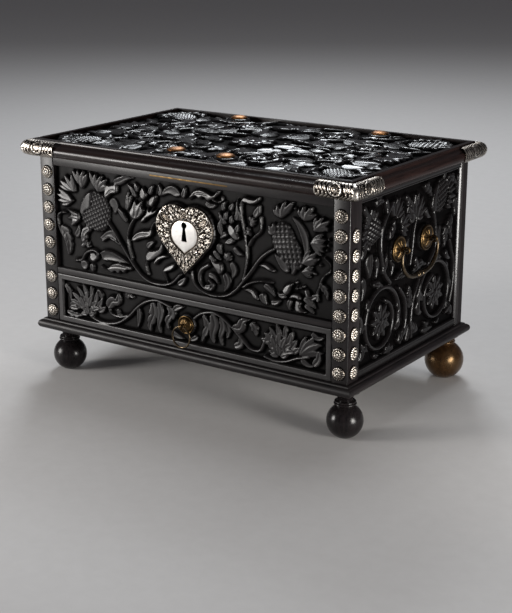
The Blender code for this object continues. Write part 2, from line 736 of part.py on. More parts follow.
# Heart escutcheon: a silver plate with a bright sunk face and the keyhole
heart_plate = flat_outline("heart_escutcheon", heart_outline, HEART_THICKNESS)
escutcheon = add("heart_escutcheon", heart_plate, SILVER)
stand_up(escutcheon, heart_back_y - SEAT_GAP - HEART_THICKNESS / 2, heart_point_z)
face_outline = [(x * HEART_FACE_SCALE, y * HEART_FACE_SCALE) for x, y in heart_outline]
face_rise = HEART_FACE_RISE - HEART_DROP * HEART_FACE_SCALE
face_plug = flat_outline("heart_face_cutter", face_outline, HEART_FACE_DEPTH * 2)
face_cutter = add("heart_face_cutter", face_plug)
stand_up(face_cutter, heart_back_y - SEAT_GAP - HEART_THICKNESS, heart_point_z + face_rise)
cut(escutcheon, face_cutter)
keyhole_outline = arc((0.0, 0.0), KEYHOLE_HEAD_RADIUS, -60, 240, 12)
keyhole_outline += [(-KEYHOLE_WAIST / 2, -KEYHOLE_HEAD_RADIUS), (-KEYHOLE_FLARE / 2, -KEYHOLE_DROP)]
keyhole_outline += [(KEYHOLE_FLARE / 2, -KEYHOLE_DROP), (KEYHOLE_WAIST / 2, -KEYHOLE_HEAD_RADIUS)]
keyhole_length = 2 * (FRONT_RECESS + PANEL_THICKNESS + SEAT_GAP + 2 * LOCK_WALL)
keyhole = add("keyhole", flat_outline("keyhole", keyhole_outline, keyhole_length))
keyhole_z = heart_point_z + KEYHOLE_HEAD_RISE
stand_up(keyhole, -half_y, keyhole_z)
cut(escutcheon, keyhole)
cut(front_panel, keyhole)

# Lock: an iron case behind the panel, a shelf that carries the bolt, and a slot for the staple
lock_front_y = panel_back_y + SEAT_GAP
lock_back_y = lock_front_y + LOCK_DEPTH
lock_top = case_top - LOCK_TOP_GAP
lock_bottom = keyhole_z - KEYHOLE_DROP - LOCK_BELOW_KEYHOLE
staple_y = (lock_front_y + lock_back_y) / 2
bolt_top = lock_top - BOLT_BELOW_TOP
bolt_bottom = bolt_top - BOLT_HEIGHT
lock_case = board("lock_case", (-LOCK_WIDTH / 2, lock_front_y, lock_bottom),
                  (LOCK_WIDTH / 2, lock_back_y, lock_top), IRON)
lock_hollow = board("lock_hollow",
                    (LOCK_WALL - LOCK_WIDTH / 2, lock_front_y + LOCK_WALL, lock_bottom + LOCK_WALL),
                    (LOCK_WIDTH / 2 - LOCK_WALL, lock_back_y - LOCK_WALL, lock_top - LOCK_WALL))
loop_half = BOLT_THICKNESS / 2 + STAPLE_CLEARANCE
staple_half = loop_half + STAPLE_BAR
staple_slot = board("staple_slot",
                    (-STAPLE_WIDTH / 2 - STAPLE_SLOT_MARGIN, staple_y - staple_half - STAPLE_SLOT_MARGIN,
                     lock_top - LOCK_WALL * 2),
                    (STAPLE_WIDTH / 2 + STAPLE_SLOT_MARGIN, staple_y + staple_half + STAPLE_SLOT_MARGIN,
                     lock_top + LOCK_WALL))
bolt_shelf = board("bolt_shelf", (-LOCK_WIDTH / 2 + LOCK_WALL / 2, lock_front_y + LOCK_WALL / 2,
                                  bolt_bottom - SEAT_GAP - BOLT_HEIGHT),
                   (-BOLT_SETBACK - LOCK_WALL, lock_back_y - LOCK_WALL / 2, bolt_bottom - SEAT_GAP))
cut(lock_case, lock_hollow)
cut(lock_case, staple_slot)
cut(lock_case, keyhole)
fuse(lock_case, bolt_shelf)
board("lock_bolt", (-BOLT_SETBACK - BOLT_LENGTH, staple_y - BOLT_THICKNESS / 2, bolt_bottom),
      (-BOLT_SETBACK, staple_y + BOLT_THICKNESS / 2, bolt_top), IRON, bolt_axis)


# Side panels, carved alike on both sides and padded for the handle rosettes
def carve_side(field, mirror):
    """The side's template, with its front edge at -100; mirror is -1 where the field runs to the front."""
    def turn(angle):
        return angle if mirror > 0 else 180.0 - angle

    def stem(points, start_radius, end_radius):
        field.stem([(mirror * u, v) for u, v in points], start_radius, end_radius)

    def leaf(u, v, angle, length, width):
        field.leaf(mirror * u, v, turn(angle), length, width, LEAF_CURL * mirror)

    for scroll_u, hand in ((-56, 1), (62, -1)):
        scroll = []
        for step in range(7):
            angle = math.radians(-80 + 64 * step)
            radius = 36.0 - 2.5 * step
            scroll.append((scroll_u + hand * radius * math.cos(angle), 44 + radius * math.sin(angle)))
        stem(scroll, 2.6, 2.0)
        field.flower(mirror * scroll_u, 44, 18, 5)
    stem([(-3, 8), (2, 30), (-6, 56), (-40, 92), (-60, 118), (-54, 146)], 2.6, 2.0)
    stem([(-6, 56), (10, 84), (34, 98), (58, 112)], 2.2, 1.8)
    stem([(2, 76), (6, 108), (8, 128)], 2.0, 1.6)
    stem([(88, 96), (95, 80), (100, 60), (98, 40), (93, 24)], 1.8, 2.2)
    field.pod(mirror * -76, 141, turn(60), 36, 27)
    field.pod(mirror * 72, 136, turn(120), 36, 27)
    field.flower(mirror * 6, 142, 26, 5, 10, 190)
    field.flower(mirror * -76, 141, 32, 3, turn(-10) - 60 * (mirror < 0), 110)
    field.flower(mirror * 72, 136, 34, 4, turn(70) - 130 * (mirror < 0), 150)
    for spot in ((-86, 100, 70, 34, 12), (-30, 120, 55, 34, 12), (92, 96, 100, 34, 12),
                 (40, 125, 60, 30, 11), (-20, 24, 150, 24, 9), (24, 20, 30, 24, 9),
                 (-96, 14, 60, 20, 8), (98, 14, 120, 20, 8), (-2, 53, 92, 26, 12), (-56, 100, 66, 22, 10),
                 (-22, 80, 175, 24, 9), (21, 81, 5, 28, 9), (52, 148, 80, 32, 11), (62, 106, 95, 24, 9),
                 (-42, 136, 63, 26, 10), (-99, 84, 95, 24, 8), (35, 160, 135, 22, 9), (92, 162, 150, 22, 9)):
        leaf(*spot)


side_size = (back_post_y - front_post_y, case_top - base_top - 2 * SIDE_BORDER)
side_middle_y = (front_post_y + back_post_y) / 2
for label, side in (("left", -1), ("right", 1)):
    origin = (side * side_outer_x, side_middle_y, base_top + SIDE_BORDER)
    field = Field(label + "_carving", field_matrix((0, side, 0), (0, 0, 1), origin), side_size,
                  (215.0, 173.0), SIDE_RELIEF)
    carve_side(field, side)
    for step in (-0.5, 0.5):
        eye_y = HANDLE_OFFSET + step * HANDLE_SPACING
        field.pad(side * (eye_y - side_middle_y), handle_z - origin[2], HANDLE_ROSETTE_RADIUS, SIDE_RELIEF)
    span_x = sorted((side * side_inner_x, side * side_outer_x))
    panel = board(label + "_side_panel", (span_x[0], front_post_y - TONGUE, case_bottom),
                  (span_x[1], back_post_y + TONGUE, case_top), EBONY)
    fuse(panel, field.carving)

# Back panel, compartment floor and drawer guides
board("back_panel", (-post_x - TONGUE, back_inner_y, case_bottom),
      (post_x + TONGUE, back_outer_y, case_top), EBONY)
floor_x = side_inner_x - SEAT_GAP
floor = board("compartment_floor", (-floor_x, panel_back_y + SEAT_GAP, mid_rail_bottom),
              (floor_x, back_inner_y - SEAT_GAP, mid_rail_bottom + FLOOR_THICKNESS), INNER_WOOD)
for side in (-1, 1):
    notch_x = sorted((side * (post_x - SEAT_GAP), side * half_x))
    for low_y, high_y in ((-half_y, front_post_y + SEAT_GAP), (back_post_y - SEAT_GAP, half_y)):
        notch = board("floor_notch", (notch_x[0], low_y, mid_rail_bottom - FLOOR_THICKNESS),
                      (notch_x[1], high_y, mid_rail_bottom + FLOOR_THICKNESS * 2))
        cut(floor, notch)
    label = "left" if side < 0 else "right"
    guide_x = sorted((side * post_x, side * (side_inner_x - SEAT_GAP)))
    board("drawer_guide_" + label, (guide_x[0], front_post_y + SEAT_GAP, case_bottom),
          (guide_x[1], back_post_y - SEAT_GAP, case_bottom + GUIDE_HEIGHT), INNER_WOOD)

# Lid: carved panel with pads for the rivet heads, and mitred mouldings round it
lid_size = (2 * lid_board_x, 2 * lid_board_y)
lid_field = Field("lid_carving", field_matrix((1, 0, 0), (0, 1, 0), (0.0, 0.0, lid_ground)), lid_size,
                  (398.0, 249.0), LID_RELIEF)
for across in (-1, 1):
    for up in (-1, 1):
        def turn(angle):
            slant = math.radians(angle)
            return math.degrees(math.atan2(up * math.sin(slant), across * math.cos(slant)))

        def spread(u, v):
            return (across * u, up * v)

        branch = [(8, 12), (36, 20), (68, 36), (104, 52), (138, 64)]
        lid_field.stem([spread(u, v) for u, v in branch], 2.4, 2.0)
        scroll = []
        for step in range(6):
            angle = math.radians(-150 + 70 * step)
            radius = 33.0 - 2.9 * step
            scroll.append(spread(66 + radius * math.cos(angle), 78 + radius * math.sin(angle)))
        lid_field.stem(scroll, 2.2, 1.8)
        lid_field.pod(*spread(154, 74), turn(35), 42, 32)
        fan_start = turn(0) - (140 if across * up < 0 else 45)
        lid_field.flower(*spread(154, 74), 40, 6, fan_start, 222)
        lid_field.pod(*spread(66, 78), turn(20), 24, 22)
        for u, v, angle, length, width in (
                (112, 101, 45, 36, 15), (109, 72, 83, 32, 14), (127, 41, -18, 34, 15), (166, 30, -9, 42, 16),
                (169, 12, -6, 40, 13), (98, 28, -4, 38, 15), (134, 15, 30, 28, 12), (26, 108, 50, 26, 12),
                (31, 46, 97, 34, 15), (14, 51, 84, 32, 13), (10, 92, 90, 30, 14), (73, 117, 2, 28, 11),
                (156, 116, 10, 28, 11), (191, 57, 90, 26, 11), (75, 14, -26, 38, 14), (186, 110, 75, 20, 10)):
            lid_field.leaf(*spread(u, v), turn(angle), length, width, LEAF_CURL * across * up, 4)
lid_field.flower(0, 0, 24, 6)
bosses = []
for label, x, y in (
        ("front_left", -FRONT_BOSS_X, front_boss_y), ("front_right", FRONT_BOSS_X, front_boss_y),
        ("back_left", -HINGE_X, back_boss_y), ("back_right", HINGE_X, back_boss_y)):
    bosses.append((label, x, y))
    lid_field.pad(x, y, BOSS_PAD_RADIUS, BOSS_PAD_RELIEF)
lid_panel = board("lid_panel", (-lid_board_x, -lid_board_y, lid_bottom),
                  (lid_board_x, lid_board_y, lid_ground), EBONY, lid_axis)
fuse(lid_panel, lid_field.carving)

nose_out = half_x + LID_OVERHANG - lid_board_x - SEAT_GAP - LID_NOSE_RADIUS
fillet_out = half_x + LID_FILLET_OVERHANG - lid_board_x - SEAT_GAP
hollow_top = LID_NOSE_RISE + LID_NOSE_RADIUS + LID_HOLLOW_RISE
lid_section = [(0.0, 0.0), (nose_out - LID_NOSE_RADIUS / 4, 0.0)]
lid_section += arc((nose_out, LID_NOSE_RISE), LID_NOSE_RADIUS, -90, 90, 8)
lid_section += [(fillet_out + LID_HOLLOW_RISE / 3, LID_NOSE_RISE + LID_NOSE_RADIUS + LID_HOLLOW_RISE / 4)]
lid_section += [(fillet_out, hollow_top), (fillet_out, LID_THICKNESS), (0.0, LID_THICKNESS)]
lid_moulding = mitred_frame("lid_moulding", lid_section, lid_board_x, lid_board_y, lid_bottom, EBONY,
                            lid_axis)

# Silver corner mounts that wrap the lid's edge, from under the nose up to the fillet
mount_out = nose_out + 2 * SEAT_GAP
mount_rise = LID_NOSE_RISE + MOUNT_LIFT
mount_belly = LID_NOSE_RADIUS + SEAT_GAP + MOUNT_THICKNESS
mount_half_height = mount_belly + MOUNT_LIFT + SEAT_GAP / 2


def mount_curve(sheet, start, end):
    """A bulging curve from under the nose to the fillet, held in by a thickness of sheet."""
    points = []
    for out, up in arc((0.0, 0.0), 1.0, start, end, 10):
        points.append((mount_out + (mount_belly - sheet) * out,
                       mount_rise + (mount_half_height - sheet) * up))
    return points


mount_section = mount_curve(0.0, MOUNT_LOW_ANGLE, MOUNT_HIGH_ANGLE)
mount_section += mount_curve(MOUNT_THICKNESS, MOUNT_HIGH_ANGLE, MOUNT_LOW_ANGLE)
nose_x = half_x + LID_OVERHANG
nose_y = half_y + LID_OVERHANG
for label, side_x, side_y in (("front_left", -1, -1), ("front_right", 1, -1),
                              ("back_left", -1, 1), ("back_right", 1, 1)):
    def along_front(out, up, x=side_x, y=side_y):
        return (x * (nose_x - MOUNT_LEG_FRONT), y * (lid_board_y + out), lid_bottom + up)

    def along_side(out, up, x=side_x, y=side_y):
        return (x * (lid_board_x + out), y * (nose_y - MOUNT_LEG_SIDE), lid_bottom + up)

    corner = mitre(lid_board_x, lid_board_y, lid_bottom, side_x, side_y)
    sweep("lid_corner_" + label, mount_section, [along_front, corner, along_side], SILVER, lid_axis)

# Rivet heads on the lid, with shanks down to the hinge straps and the staple plate
shank_end = lid_bottom + STRAP_RECESS
boss_seat = lid_ground + BOSS_PAD_RELIEF + SEAT_GAP
boss_profile = [(0.0, boss_seat + BOSS_DOME)]
for i in range(1, 4):
    fall = math.radians(30 * i)
    boss_rise = BOSS_EDGE + (BOSS_DOME - BOSS_EDGE) * math.cos(fall)
    boss_profile.append((BOSS_RADIUS * math.sin(fall), boss_seat + boss_rise))
boss_profile += [(BOSS_RADIUS, boss_seat), (SHANK_RADIUS, boss_seat), (SHANK_RADIUS, shank_end)]
boss_profile += [(0.0, shank_end)]
for label, x, y in bosses:
    turned("lid_boss_" + label, boss_profile, (x, y, 0.0), (0, 0, 1), BRASS, lid_axis, 12)
    hole = rod("shank_hole_" + label, SHANK_RADIUS + SEAT_GAP, LID_THICKNESS * 2, (0, 0, 1),
               (x, y, lid_ground))
    cut(lid_panel, hole)

# Staple under the lid: a plate let into the board, with a loop that drops into the lock
plate_top = lid_bottom + SEAT_GAP + STRAP_THICKNESS
plate_front_y = staple_y - STAPLE_PLATE_DEPTH / 3
plate_back_y = plate_front_y + STAPLE_PLATE_DEPTH
slot_half = STAPLE_PLATE_LENGTH / 2 + SEAT_GAP
plate_slot = board("plate_slot", (-slot_half, plate_front_y - SEAT_GAP, lid_bottom - STRAP_RECESS),
                   (slot_half, plate_back_y + SEAT_GAP, lid_bottom + STRAP_RECESS))
cut(lid_panel, plate_slot)
staple = board("lock_staple", (-STAPLE_PLATE_LENGTH / 2, plate_front_y, lid_bottom + SEAT_GAP),
               (STAPLE_PLATE_LENGTH / 2, plate_back_y, plate_top), IRON, lid_axis)
loop_bottom = bolt_bottom - STAPLE_CLEARANCE - STAPLE_BAR
loop_block = board("staple_loop", (-STAPLE_WIDTH / 2, staple_y - staple_half, loop_bottom),
                   (STAPLE_WIDTH / 2, staple_y + staple_half, plate_top - STRAP_THICKNESS / 2))
loop_gap = board("staple_gap", (-STAPLE_WIDTH, staple_y - loop_half, loop_bottom + STAPLE_BAR),
                 (STAPLE_WIDTH, staple_y + loop_half, bolt_top + STAPLE_CLEARANCE))
fuse(staple, loop_block)
cut(staple, loop_gap)

# Strap hinges: a leaf on the back of the case, a strap let into the lid, and a pin through the knuckles
knuckle = HINGE_WIDTH / 3
for label, side in (("left", -1), ("right", 1)):
    x = side * HINGE_X
    barrel = (x, hinge_y, hinge_z)
    slot_half = STRAP_WIDTH / 2 + SEAT_GAP
    slot_low_y = hinge_y - STRAP_LENGTH - SEAT_GAP
    slot_high_y = hinge_y + HINGE_BARREL_RADIUS + SEAT_GAP
    strap_slot = board("strap_slot_" + label, (x - slot_half, slot_low_y, lid_bottom - STRAP_RECESS),
                       (x + slot_half, slot_high_y, lid_bottom + STRAP_RECESS))
    cut(lid_panel, strap_slot)
    cut(lid_moulding["back"], strap_slot)
    bore = rod("hinge_bore_" + label, HINGE_BORE_RADIUS, HINGE_WIDTH * 2, (1, 0, 0), barrel)
    lid_leaf = board("hinge_lid_leaf_" + label,
                     (x - STRAP_WIDTH / 2, hinge_y - STRAP_LENGTH, lid_bottom + SEAT_GAP),
                     (x + STRAP_WIDTH / 2, hinge_y + HINGE_WEB_BACK + SEAT_GAP, plate_top), IRON, lid_axis)
    lid_knuckle = rod("lid_knuckle_" + label, HINGE_BARREL_RADIUS, knuckle - RUN_GAP, (1, 0, 0), barrel)
    web_half = knuckle / 2 - RUN_GAP
    lid_web = board("lid_web_" + label, (x - web_half, hinge_y - HINGE_WEB_FRONT, hinge_z),
                    (x + web_half, hinge_y + HINGE_WEB_BACK, plate_top - STRAP_THICKNESS / 2))
    fuse(lid_leaf, lid_web)
    fuse(lid_leaf, lid_knuckle)
    cut(lid_leaf, bore)
    leaf_y = back_outer_y + SEAT_GAP
    case_leaf = board("hinge_case_leaf_" + label,
                      (x - HINGE_WIDTH / 2, leaf_y, hinge_z - HINGE_LEAF_HEIGHT),
                      (x + HINGE_WIDTH / 2, leaf_y + HINGE_LEAF_THICKNESS, hinge_z), IRON)
    leaf_notch = board("leaf_notch_" + label,
                       (x - knuckle / 2 - RUN_GAP, leaf_y - HINGE_LEAF_THICKNESS,
                        hinge_z - HINGE_BARREL_RADIUS - RUN_GAP),
                       (x + knuckle / 2 + RUN_GAP, leaf_y + HINGE_LEAF_THICKNESS * 2, case_top))
    cut(case_leaf, leaf_notch)
    for end in (-1, 1):
        case_knuckle = rod("case_knuckle", HINGE_BARREL_RADIUS, knuckle - RUN_GAP, (1, 0, 0),
                           (x + end * (knuckle + RUN_GAP / 2), hinge_y, hinge_z))
        fuse(case_leaf, case_knuckle)
    cut(case_leaf, bore)
    pin_half = HINGE_WIDTH / 2 + RUN_GAP + SEAT_GAP
    pin_profile = [(0.0, pin_half + HINGE_PIN_RADIUS), (HINGE_PIN_HEAD, pin_half + HINGE_PIN_RADIUS)]
    pin_profile += [(HINGE_PIN_HEAD, pin_half), (HINGE_PIN_RADIUS, pin_half), (HINGE_PIN_RADIUS, -pin_half)]
    pin_profile += [(HINGE_PIN_HEAD, -pin_half), (HINGE_PIN_HEAD, -pin_half - HINGE_PIN_RADIUS)]
    pin_profile += [(0.0, -pin_half - HINGE_PIN_RADIUS)]
    turned("hinge_pin_" + label, pin_profile, barrel, (1, 0, 0), IRON, steps=10)

# Drawer: carved front, sides, back and bottom
drawer_x = post_x - RUN_GAP
drawer_front_back_y = -half_y + DRAWER_FRONT_THICKNESS
drawer_back_y = back_inner_y - DRAWER_BACK_CLEARANCE
drawer_front = board("drawer_front", (-drawer_x, -half_y, drawer_bottom_z),
                     (drawer_x, drawer_front_back_y, drawer_top_z), EBONY, drawer_axis)
field_x = drawer_x - DRAWER_BORDER
drawer_ground_y = -half_y + DRAWER_RECESS
field_low_z = drawer_bottom_z + DRAWER_BORDER
drawer_sinking = board("drawer_sinking", (-field_x, -half_y - DRAWER_RECESS, field_low_z),
                       (field_x, drawer_ground_y, drawer_top_z - DRAWER_BORDER))
cut(drawer_front, drawer_sinking)
drawer_size = (2 * field_x, DRAWER_FRONT_HEIGHT - 2 * DRAWER_BORDER)
drawer_field = Field("drawer_carving",
                     field_matrix((1, 0, 0), (0, 0, 1), (0.0, drawer_ground_y, field_low_z)),
                     drawer_size, (348.0, 42.0), DRAWER_RELIEF)
drawer_field.stem([(-130, 5), (-112, 4), (-95, 7), (-80, 15), (-67, 27), (-52, 36), (-36, 37), (-20, 32)],
                  1.6, 1.6)
drawer_field.stem([(12, 30), (23, 36), (37, 37), (52, 31), (66, 20), (82, 10), (98, 6), (118, 5), (140, 9)],
                  1.6, 1.6)
drawer_field.stem([(-107, 22), (-103, 13), (-92, 11), (-82, 15)], 1.2, 1.4)
drawer_field.flower(-140, 21, 17, 5, 20)
drawer_field.flower(132, 23, 17, 5, 10)
for leaf in (
        (-100, 28, 50, 20, 8), (-42, 18, 70, 30, 9), (-27, 14, 60, 24, 8), (80, 33, 35, 18, 7),
        (67, 12, 70, 16, 6), (22, 14, 75, 24, 8), (35, 18, 85, 26, 8), (48, 15, -80, 22, 7),
        (95, 22, 60, 20, 7), (-76, 33, 20, 14, 6), (160, 14, 100, 18, 6), (-164, 20, 80, 22, 6)):
    drawer_field.leaf(*leaf)
drawer_field.pad(0.0, pull_z - field_low_z, PULL_RADIUS, DRAWER_RELIEF)
fuse(drawer_front, drawer_field.carving)
side_low_y = drawer_front_back_y + SEAT_GAP
side_top = drawer_bottom_z + DRAWER_SIDE_HEIGHT
drawer_inner_x = drawer_x - DRAWER_SIDE_THICKNESS
for label, side in (("left", -1), ("right", 1)):
    span_x = sorted((side * drawer_inner_x, side * drawer_x))
    board("drawer_side_" + label, (span_x[0], side_low_y, drawer_bottom_z),
          (span_x[1], drawer_back_y, side_top), INNER_WOOD, drawer_axis)
inner_x = drawer_inner_x - SEAT_GAP
back_low_y = drawer_back_y - DRAWER_SIDE_THICKNESS
board("drawer_back", (-inner_x, back_low_y, drawer_bottom_z), (inner_x, drawer_back_y, side_top),
      INNER_WOOD, drawer_axis)
board("drawer_bottom", (-inner_x, side_low_y, drawer_bottom_z),
      (inner_x, back_low_y - SEAT_GAP, drawer_bottom_z + DRAWER_BOTTOM_THICKNESS), INNER_WOOD, drawer_axis)


# Pull and handles: turned rosettes with eyes, a ring and two bails
def rosette(name, radius, standoff, eye_radius, place, direction, surface, axis=None):
    """A domed rosette with a short stalk and a ball that is drilled as an eye."""
    stalk = eye_radius * EYE_STALK_SHARE
    start = math.degrees(math.asin(stalk / eye_radius)) - 90.0
    profile = list(reversed(arc((0.0, standoff), eye_radius, start, 90, 3)))
    profile[0] = (0.0, standoff + eye_radius)
    for fall in (0, 30, 60, 90):
        swell = math.radians(fall)
        profile.append((stalk + (radius - stalk) * math.sin(swell),
                        ROSETTE_RIM + (ROSETTE_DOME - ROSETTE_RIM) * math.cos(swell)))
    profile += [(radius, 0.0), (0.0, 0.0)]
    return turned(name, profile, place, direction, surface, axis, 12)


pull_seat_y = drawer_ground_y - DRAWER_RELIEF - SEAT_GAP
pull = rosette("drawer_rosette", PULL_RADIUS, pull_seat_y - pull_y, PULL_EYE_RADIUS,
               (0.0, pull_seat_y, pull_z), (0, -1, 0), BRASS, drawer_axis)
cut(pull, rod("pull_eye", PULL_HOLE_RADIUS, PULL_EYE_RADIUS * 4, (1, 0, 0), (0.0, pull_y, pull_z)))
bpy.ops.mesh.primitive_torus_add(major_segments=22, minor_segments=6, major_radius=RING_RADIUS,
                                 minor_radius=RING_WIRE, location=(0.0, 0.0, 0.0))
ring_source = bpy.context.object
ring_mesh = ring_source.data
bpy.data.objects.remove(ring_source)
round_shading(ring_mesh)
ring = add("drawer_ring", ring_mesh, BRASS, ring_axis)
ring.location = (0.0, pull_y, pull_z - RING_RADIUS)
ring.rotation_euler = (math.pi / 2, 0.0, 0.0)


def bail_path():
    """Points and radii of a bail, from one drilled eye to the other, hanging in the plane of (y, z)."""
    eye = HANDLE_SPACING / 2
    outside = eye + HANDLE_EYE_RADIUS
    wide = outside + BAIL_BELLY
    half = [(eye - BAIL_TIP, 0.0, BAIL_END_RADIUS), (outside, 0.0, BAIL_END_RADIUS),
            (wide, -BAIL_SHOULDER_DROP, BAIL_END_RADIUS),
            (wide - BAIL_BEND_IN, -BAIL_BEND_DROP, BAIL_BEND_RADIUS),
            (eye - BAIL_GRIP_INSET, BAIL_GRIP_RISE - BAIL_DROP, BAIL_GRIP_RADIUS),
            (BAIL_BEAD_HALF, -BAIL_DROP, BAIL_GRIP_RADIUS)]
    middle = [(0.0, -BAIL_DROP, BAIL_BEAD_RADIUS)]
    other = [(-y, z, radius) for y, z, radius in reversed(half)]
    return half + middle + other


for label, side, axis in (("left", -1, left_bail_axis), ("right", 1, right_bail_axis)):
    eye_seat_x = side_outer_x + SIDE_RELIEF + SEAT_GAP
    for end, step in (("front", -0.5), ("back", 0.5)):
        eye_y = HANDLE_OFFSET + step * HANDLE_SPACING
        eye = rosette("handle_eye_" + label + "_" + end, HANDLE_ROSETTE_RADIUS, handle_x - eye_seat_x,
                      HANDLE_EYE_RADIUS, (side * eye_seat_x, eye_y, handle_z), (side, 0, 0), BRASS)
        drill = rod("handle_drill_" + label + "_" + end, HANDLE_HOLE_RADIUS, HANDLE_EYE_RADIUS * 4,
                    (0, 1, 0), (side * handle_x, eye_y, handle_z))
        cut(eye, drill)
    knots = bail_path()
    bail_points = [(0.0, y, z) for y, z, radius in knots]
    bail_radii = [radius for y, z, radius in knots]
    bail = tube(label + "_handle", bail_points, bail_radii, 1, 2, True)
    round_shading(bail)
    handle = add(label + "_handle", bail, BRASS, axis)
    handle.location = (side * handle_x, HANDLE_OFFSET, handle_z)

# Joinery: every cut and union, in the order in which the pieces above ask for it
for piece, operation, tool in joinery:
    joint = piece.modifiers.new(operation.lower() + " " + tool.name, "BOOLEAN")
    joint.operation = operation
    if isinstance(tool, bpy.types.Collection):
        joint.operand_type = "COLLECTION"
        joint.collection = tool
    else:
        joint.object = tool
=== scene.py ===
import math

import bpy
import numpy as np
from mathutils import Matrix, Vector


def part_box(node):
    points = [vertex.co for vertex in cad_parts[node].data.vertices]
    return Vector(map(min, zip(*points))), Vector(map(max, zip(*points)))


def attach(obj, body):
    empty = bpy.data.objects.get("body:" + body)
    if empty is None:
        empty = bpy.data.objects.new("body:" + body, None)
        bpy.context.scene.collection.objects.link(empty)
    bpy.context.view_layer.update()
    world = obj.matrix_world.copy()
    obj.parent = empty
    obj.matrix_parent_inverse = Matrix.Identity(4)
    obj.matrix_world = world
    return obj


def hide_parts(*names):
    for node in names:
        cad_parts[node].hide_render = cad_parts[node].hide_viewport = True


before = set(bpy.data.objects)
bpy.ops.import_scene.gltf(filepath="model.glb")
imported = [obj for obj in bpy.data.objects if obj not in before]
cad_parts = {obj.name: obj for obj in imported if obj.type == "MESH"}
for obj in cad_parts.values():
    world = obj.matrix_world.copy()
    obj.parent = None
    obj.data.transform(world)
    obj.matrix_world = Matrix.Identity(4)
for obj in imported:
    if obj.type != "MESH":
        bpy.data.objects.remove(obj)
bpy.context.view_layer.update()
bpy.ops.object.select_all(action="DESELECT")


# Feet
# Four turned ebony feet: a ball, two thin rings and a neck that flares to a flange. Each has a tenon glued
# into the base board. The back right one is a later replacement in brown wood, with a bigger ball.
BALL_RADIUS = 0.0191
BROWN_BALL_RADIUS = 0.0221
FLAT_RADIUS = 0.006
NECK_RADIUS = 0.0075
RING_RADIUS = 0.0119
RING_HALF = 0.0011
FLANGE_RADIUS = 0.0155
FOOT_TOP = 0.0517
BROWN_DARK = (0.008, 0.004, 0.002, 1.0)
BROWN_LIGHT = (0.042, 0.020, 0.008, 1.0)
PAINTED_GOLD_HIGHLIGHT = (1.0, 0.64, 0.32, 1.0)
BROWN_GRAIN = (1.0, 1.0, 0.12)
EBONY_DARK = (0.0040, 0.0036, 0.0040, 1.0)
EBONY_LIGHT = (0.0150, 0.0118, 0.0122, 1.0)
EBONY_GRAIN = (1.0, 1.0, 0.1)
EVEN = (1.0, 1.0, 1.0)


def arc(centre, radius, start, end, steps):
    """Points on an arc, its angles in degrees."""
    points = []
    for i in range(steps + 1):
        angle = math.radians(start + (end - start) * i / steps)
        points.append((centre[0] + radius * math.cos(angle), centre[1] + radius * math.sin(angle)))
    return points


def finished(piece, sharp=35.0):
    """Smooth shading that keeps the true corners, with nothing left selected."""
    bpy.ops.object.select_all(action="DESELECT")
    piece.select_set(True)
    bpy.context.view_layer.objects.active = piece
    bpy.ops.object.shade_smooth_by_angle(angle=math.radians(sharp))
    bpy.ops.object.select_all(action="DESELECT")
    return piece


def turned(name, profile, steps=64):
    """A piece off the lathe: (radius, height) points from its top to its foot, spun about the Z axis."""
    bpy.ops.mesh.primitive_circle_add(vertices=len(profile), radius=0.01)
    piece = bpy.context.active_object
    piece.name = name
    for corner, (radius, height) in zip(piece.data.vertices, profile):
        corner.co = (radius, 0.0, height)
        corner.select = corner.index in (0, len(profile) - 1)
    for edge in piece.data.edges:
        edge.select = set(edge.vertices) == {0, len(profile) - 1}
    bpy.ops.object.mode_set(mode="EDIT")
    bpy.ops.mesh.select_mode(type="EDGE")
    bpy.ops.mesh.delete(type="EDGE")
    bpy.ops.mesh.select_all(action="SELECT")
    bpy.ops.mesh.spin(steps=steps, angle=2 * math.pi, center=(0, 0, 0), axis=(0, 0, 1))
    bpy.ops.mesh.select_all(action="SELECT")
    bpy.ops.mesh.remove_doubles(threshold=0.000002)
    bpy.ops.mesh.normals_make_consistent(inside=False)
    bpy.ops.mesh.select_mode(type="VERT")
    bpy.ops.object.mode_set(mode="OBJECT")
    return finished(piece)


def copied(piece, name, matrix):
    """A copy with its own mesh, moved to its place in that mesh."""
    twin = piece.copy()
    twin.data = piece.data.copy()
    twin.name = name
    bpy.context.scene.collection.objects.link(twin)
    twin.data.transform(matrix)
    if matrix.determinant() < 0:
        twin.data.flip_normals()
    return twin


def add_node(surface, kind, sockets=None, **settings):
    """A shader node, with its settings and the plain values of its sockets."""
    made = surface.node_tree.nodes.new("ShaderNode" + kind)
    for key, value in settings.items():
        setattr(made, key, value)
    for key, value in (sockets or {}).items():
        made.inputs[key].default_value = value
    return made


def new_surface(name):
    """A new material, its shader, and what links its sockets."""
    surface = bpy.data.materials.new(name)
    surface.use_nodes = True
    return surface, surface.node_tree.nodes["Principled BSDF"], surface.node_tree.links.new


def colour_ramp(surface, source, stops):
    """A ramp from (place, colour) stops, fed by a socket."""
    ramp = add_node(surface, "ValToRGB")
    while len(ramp.color_ramp.elements) < len(stops):
        ramp.color_ramp.elements.new(0.5)
    for element, (place, colour) in zip(ramp.color_ramp.elements, stops):
        element.position = place
        element.color = colour
    surface.node_tree.links.new(source, ramp.inputs["Fac"])
    return ramp.outputs["Color"]


def spread(surface, source, low, high, start=0.25, end=0.75):
    """A socket's values from start to end, spread from low to high."""
    made = add_node(surface, "MapRange", {"From Min": start, "From Max": end, "To Min": low,
                                          "To Max": high})
    surface.node_tree.links.new(source, made.inputs["Value"])
    return made.outputs["Result"]


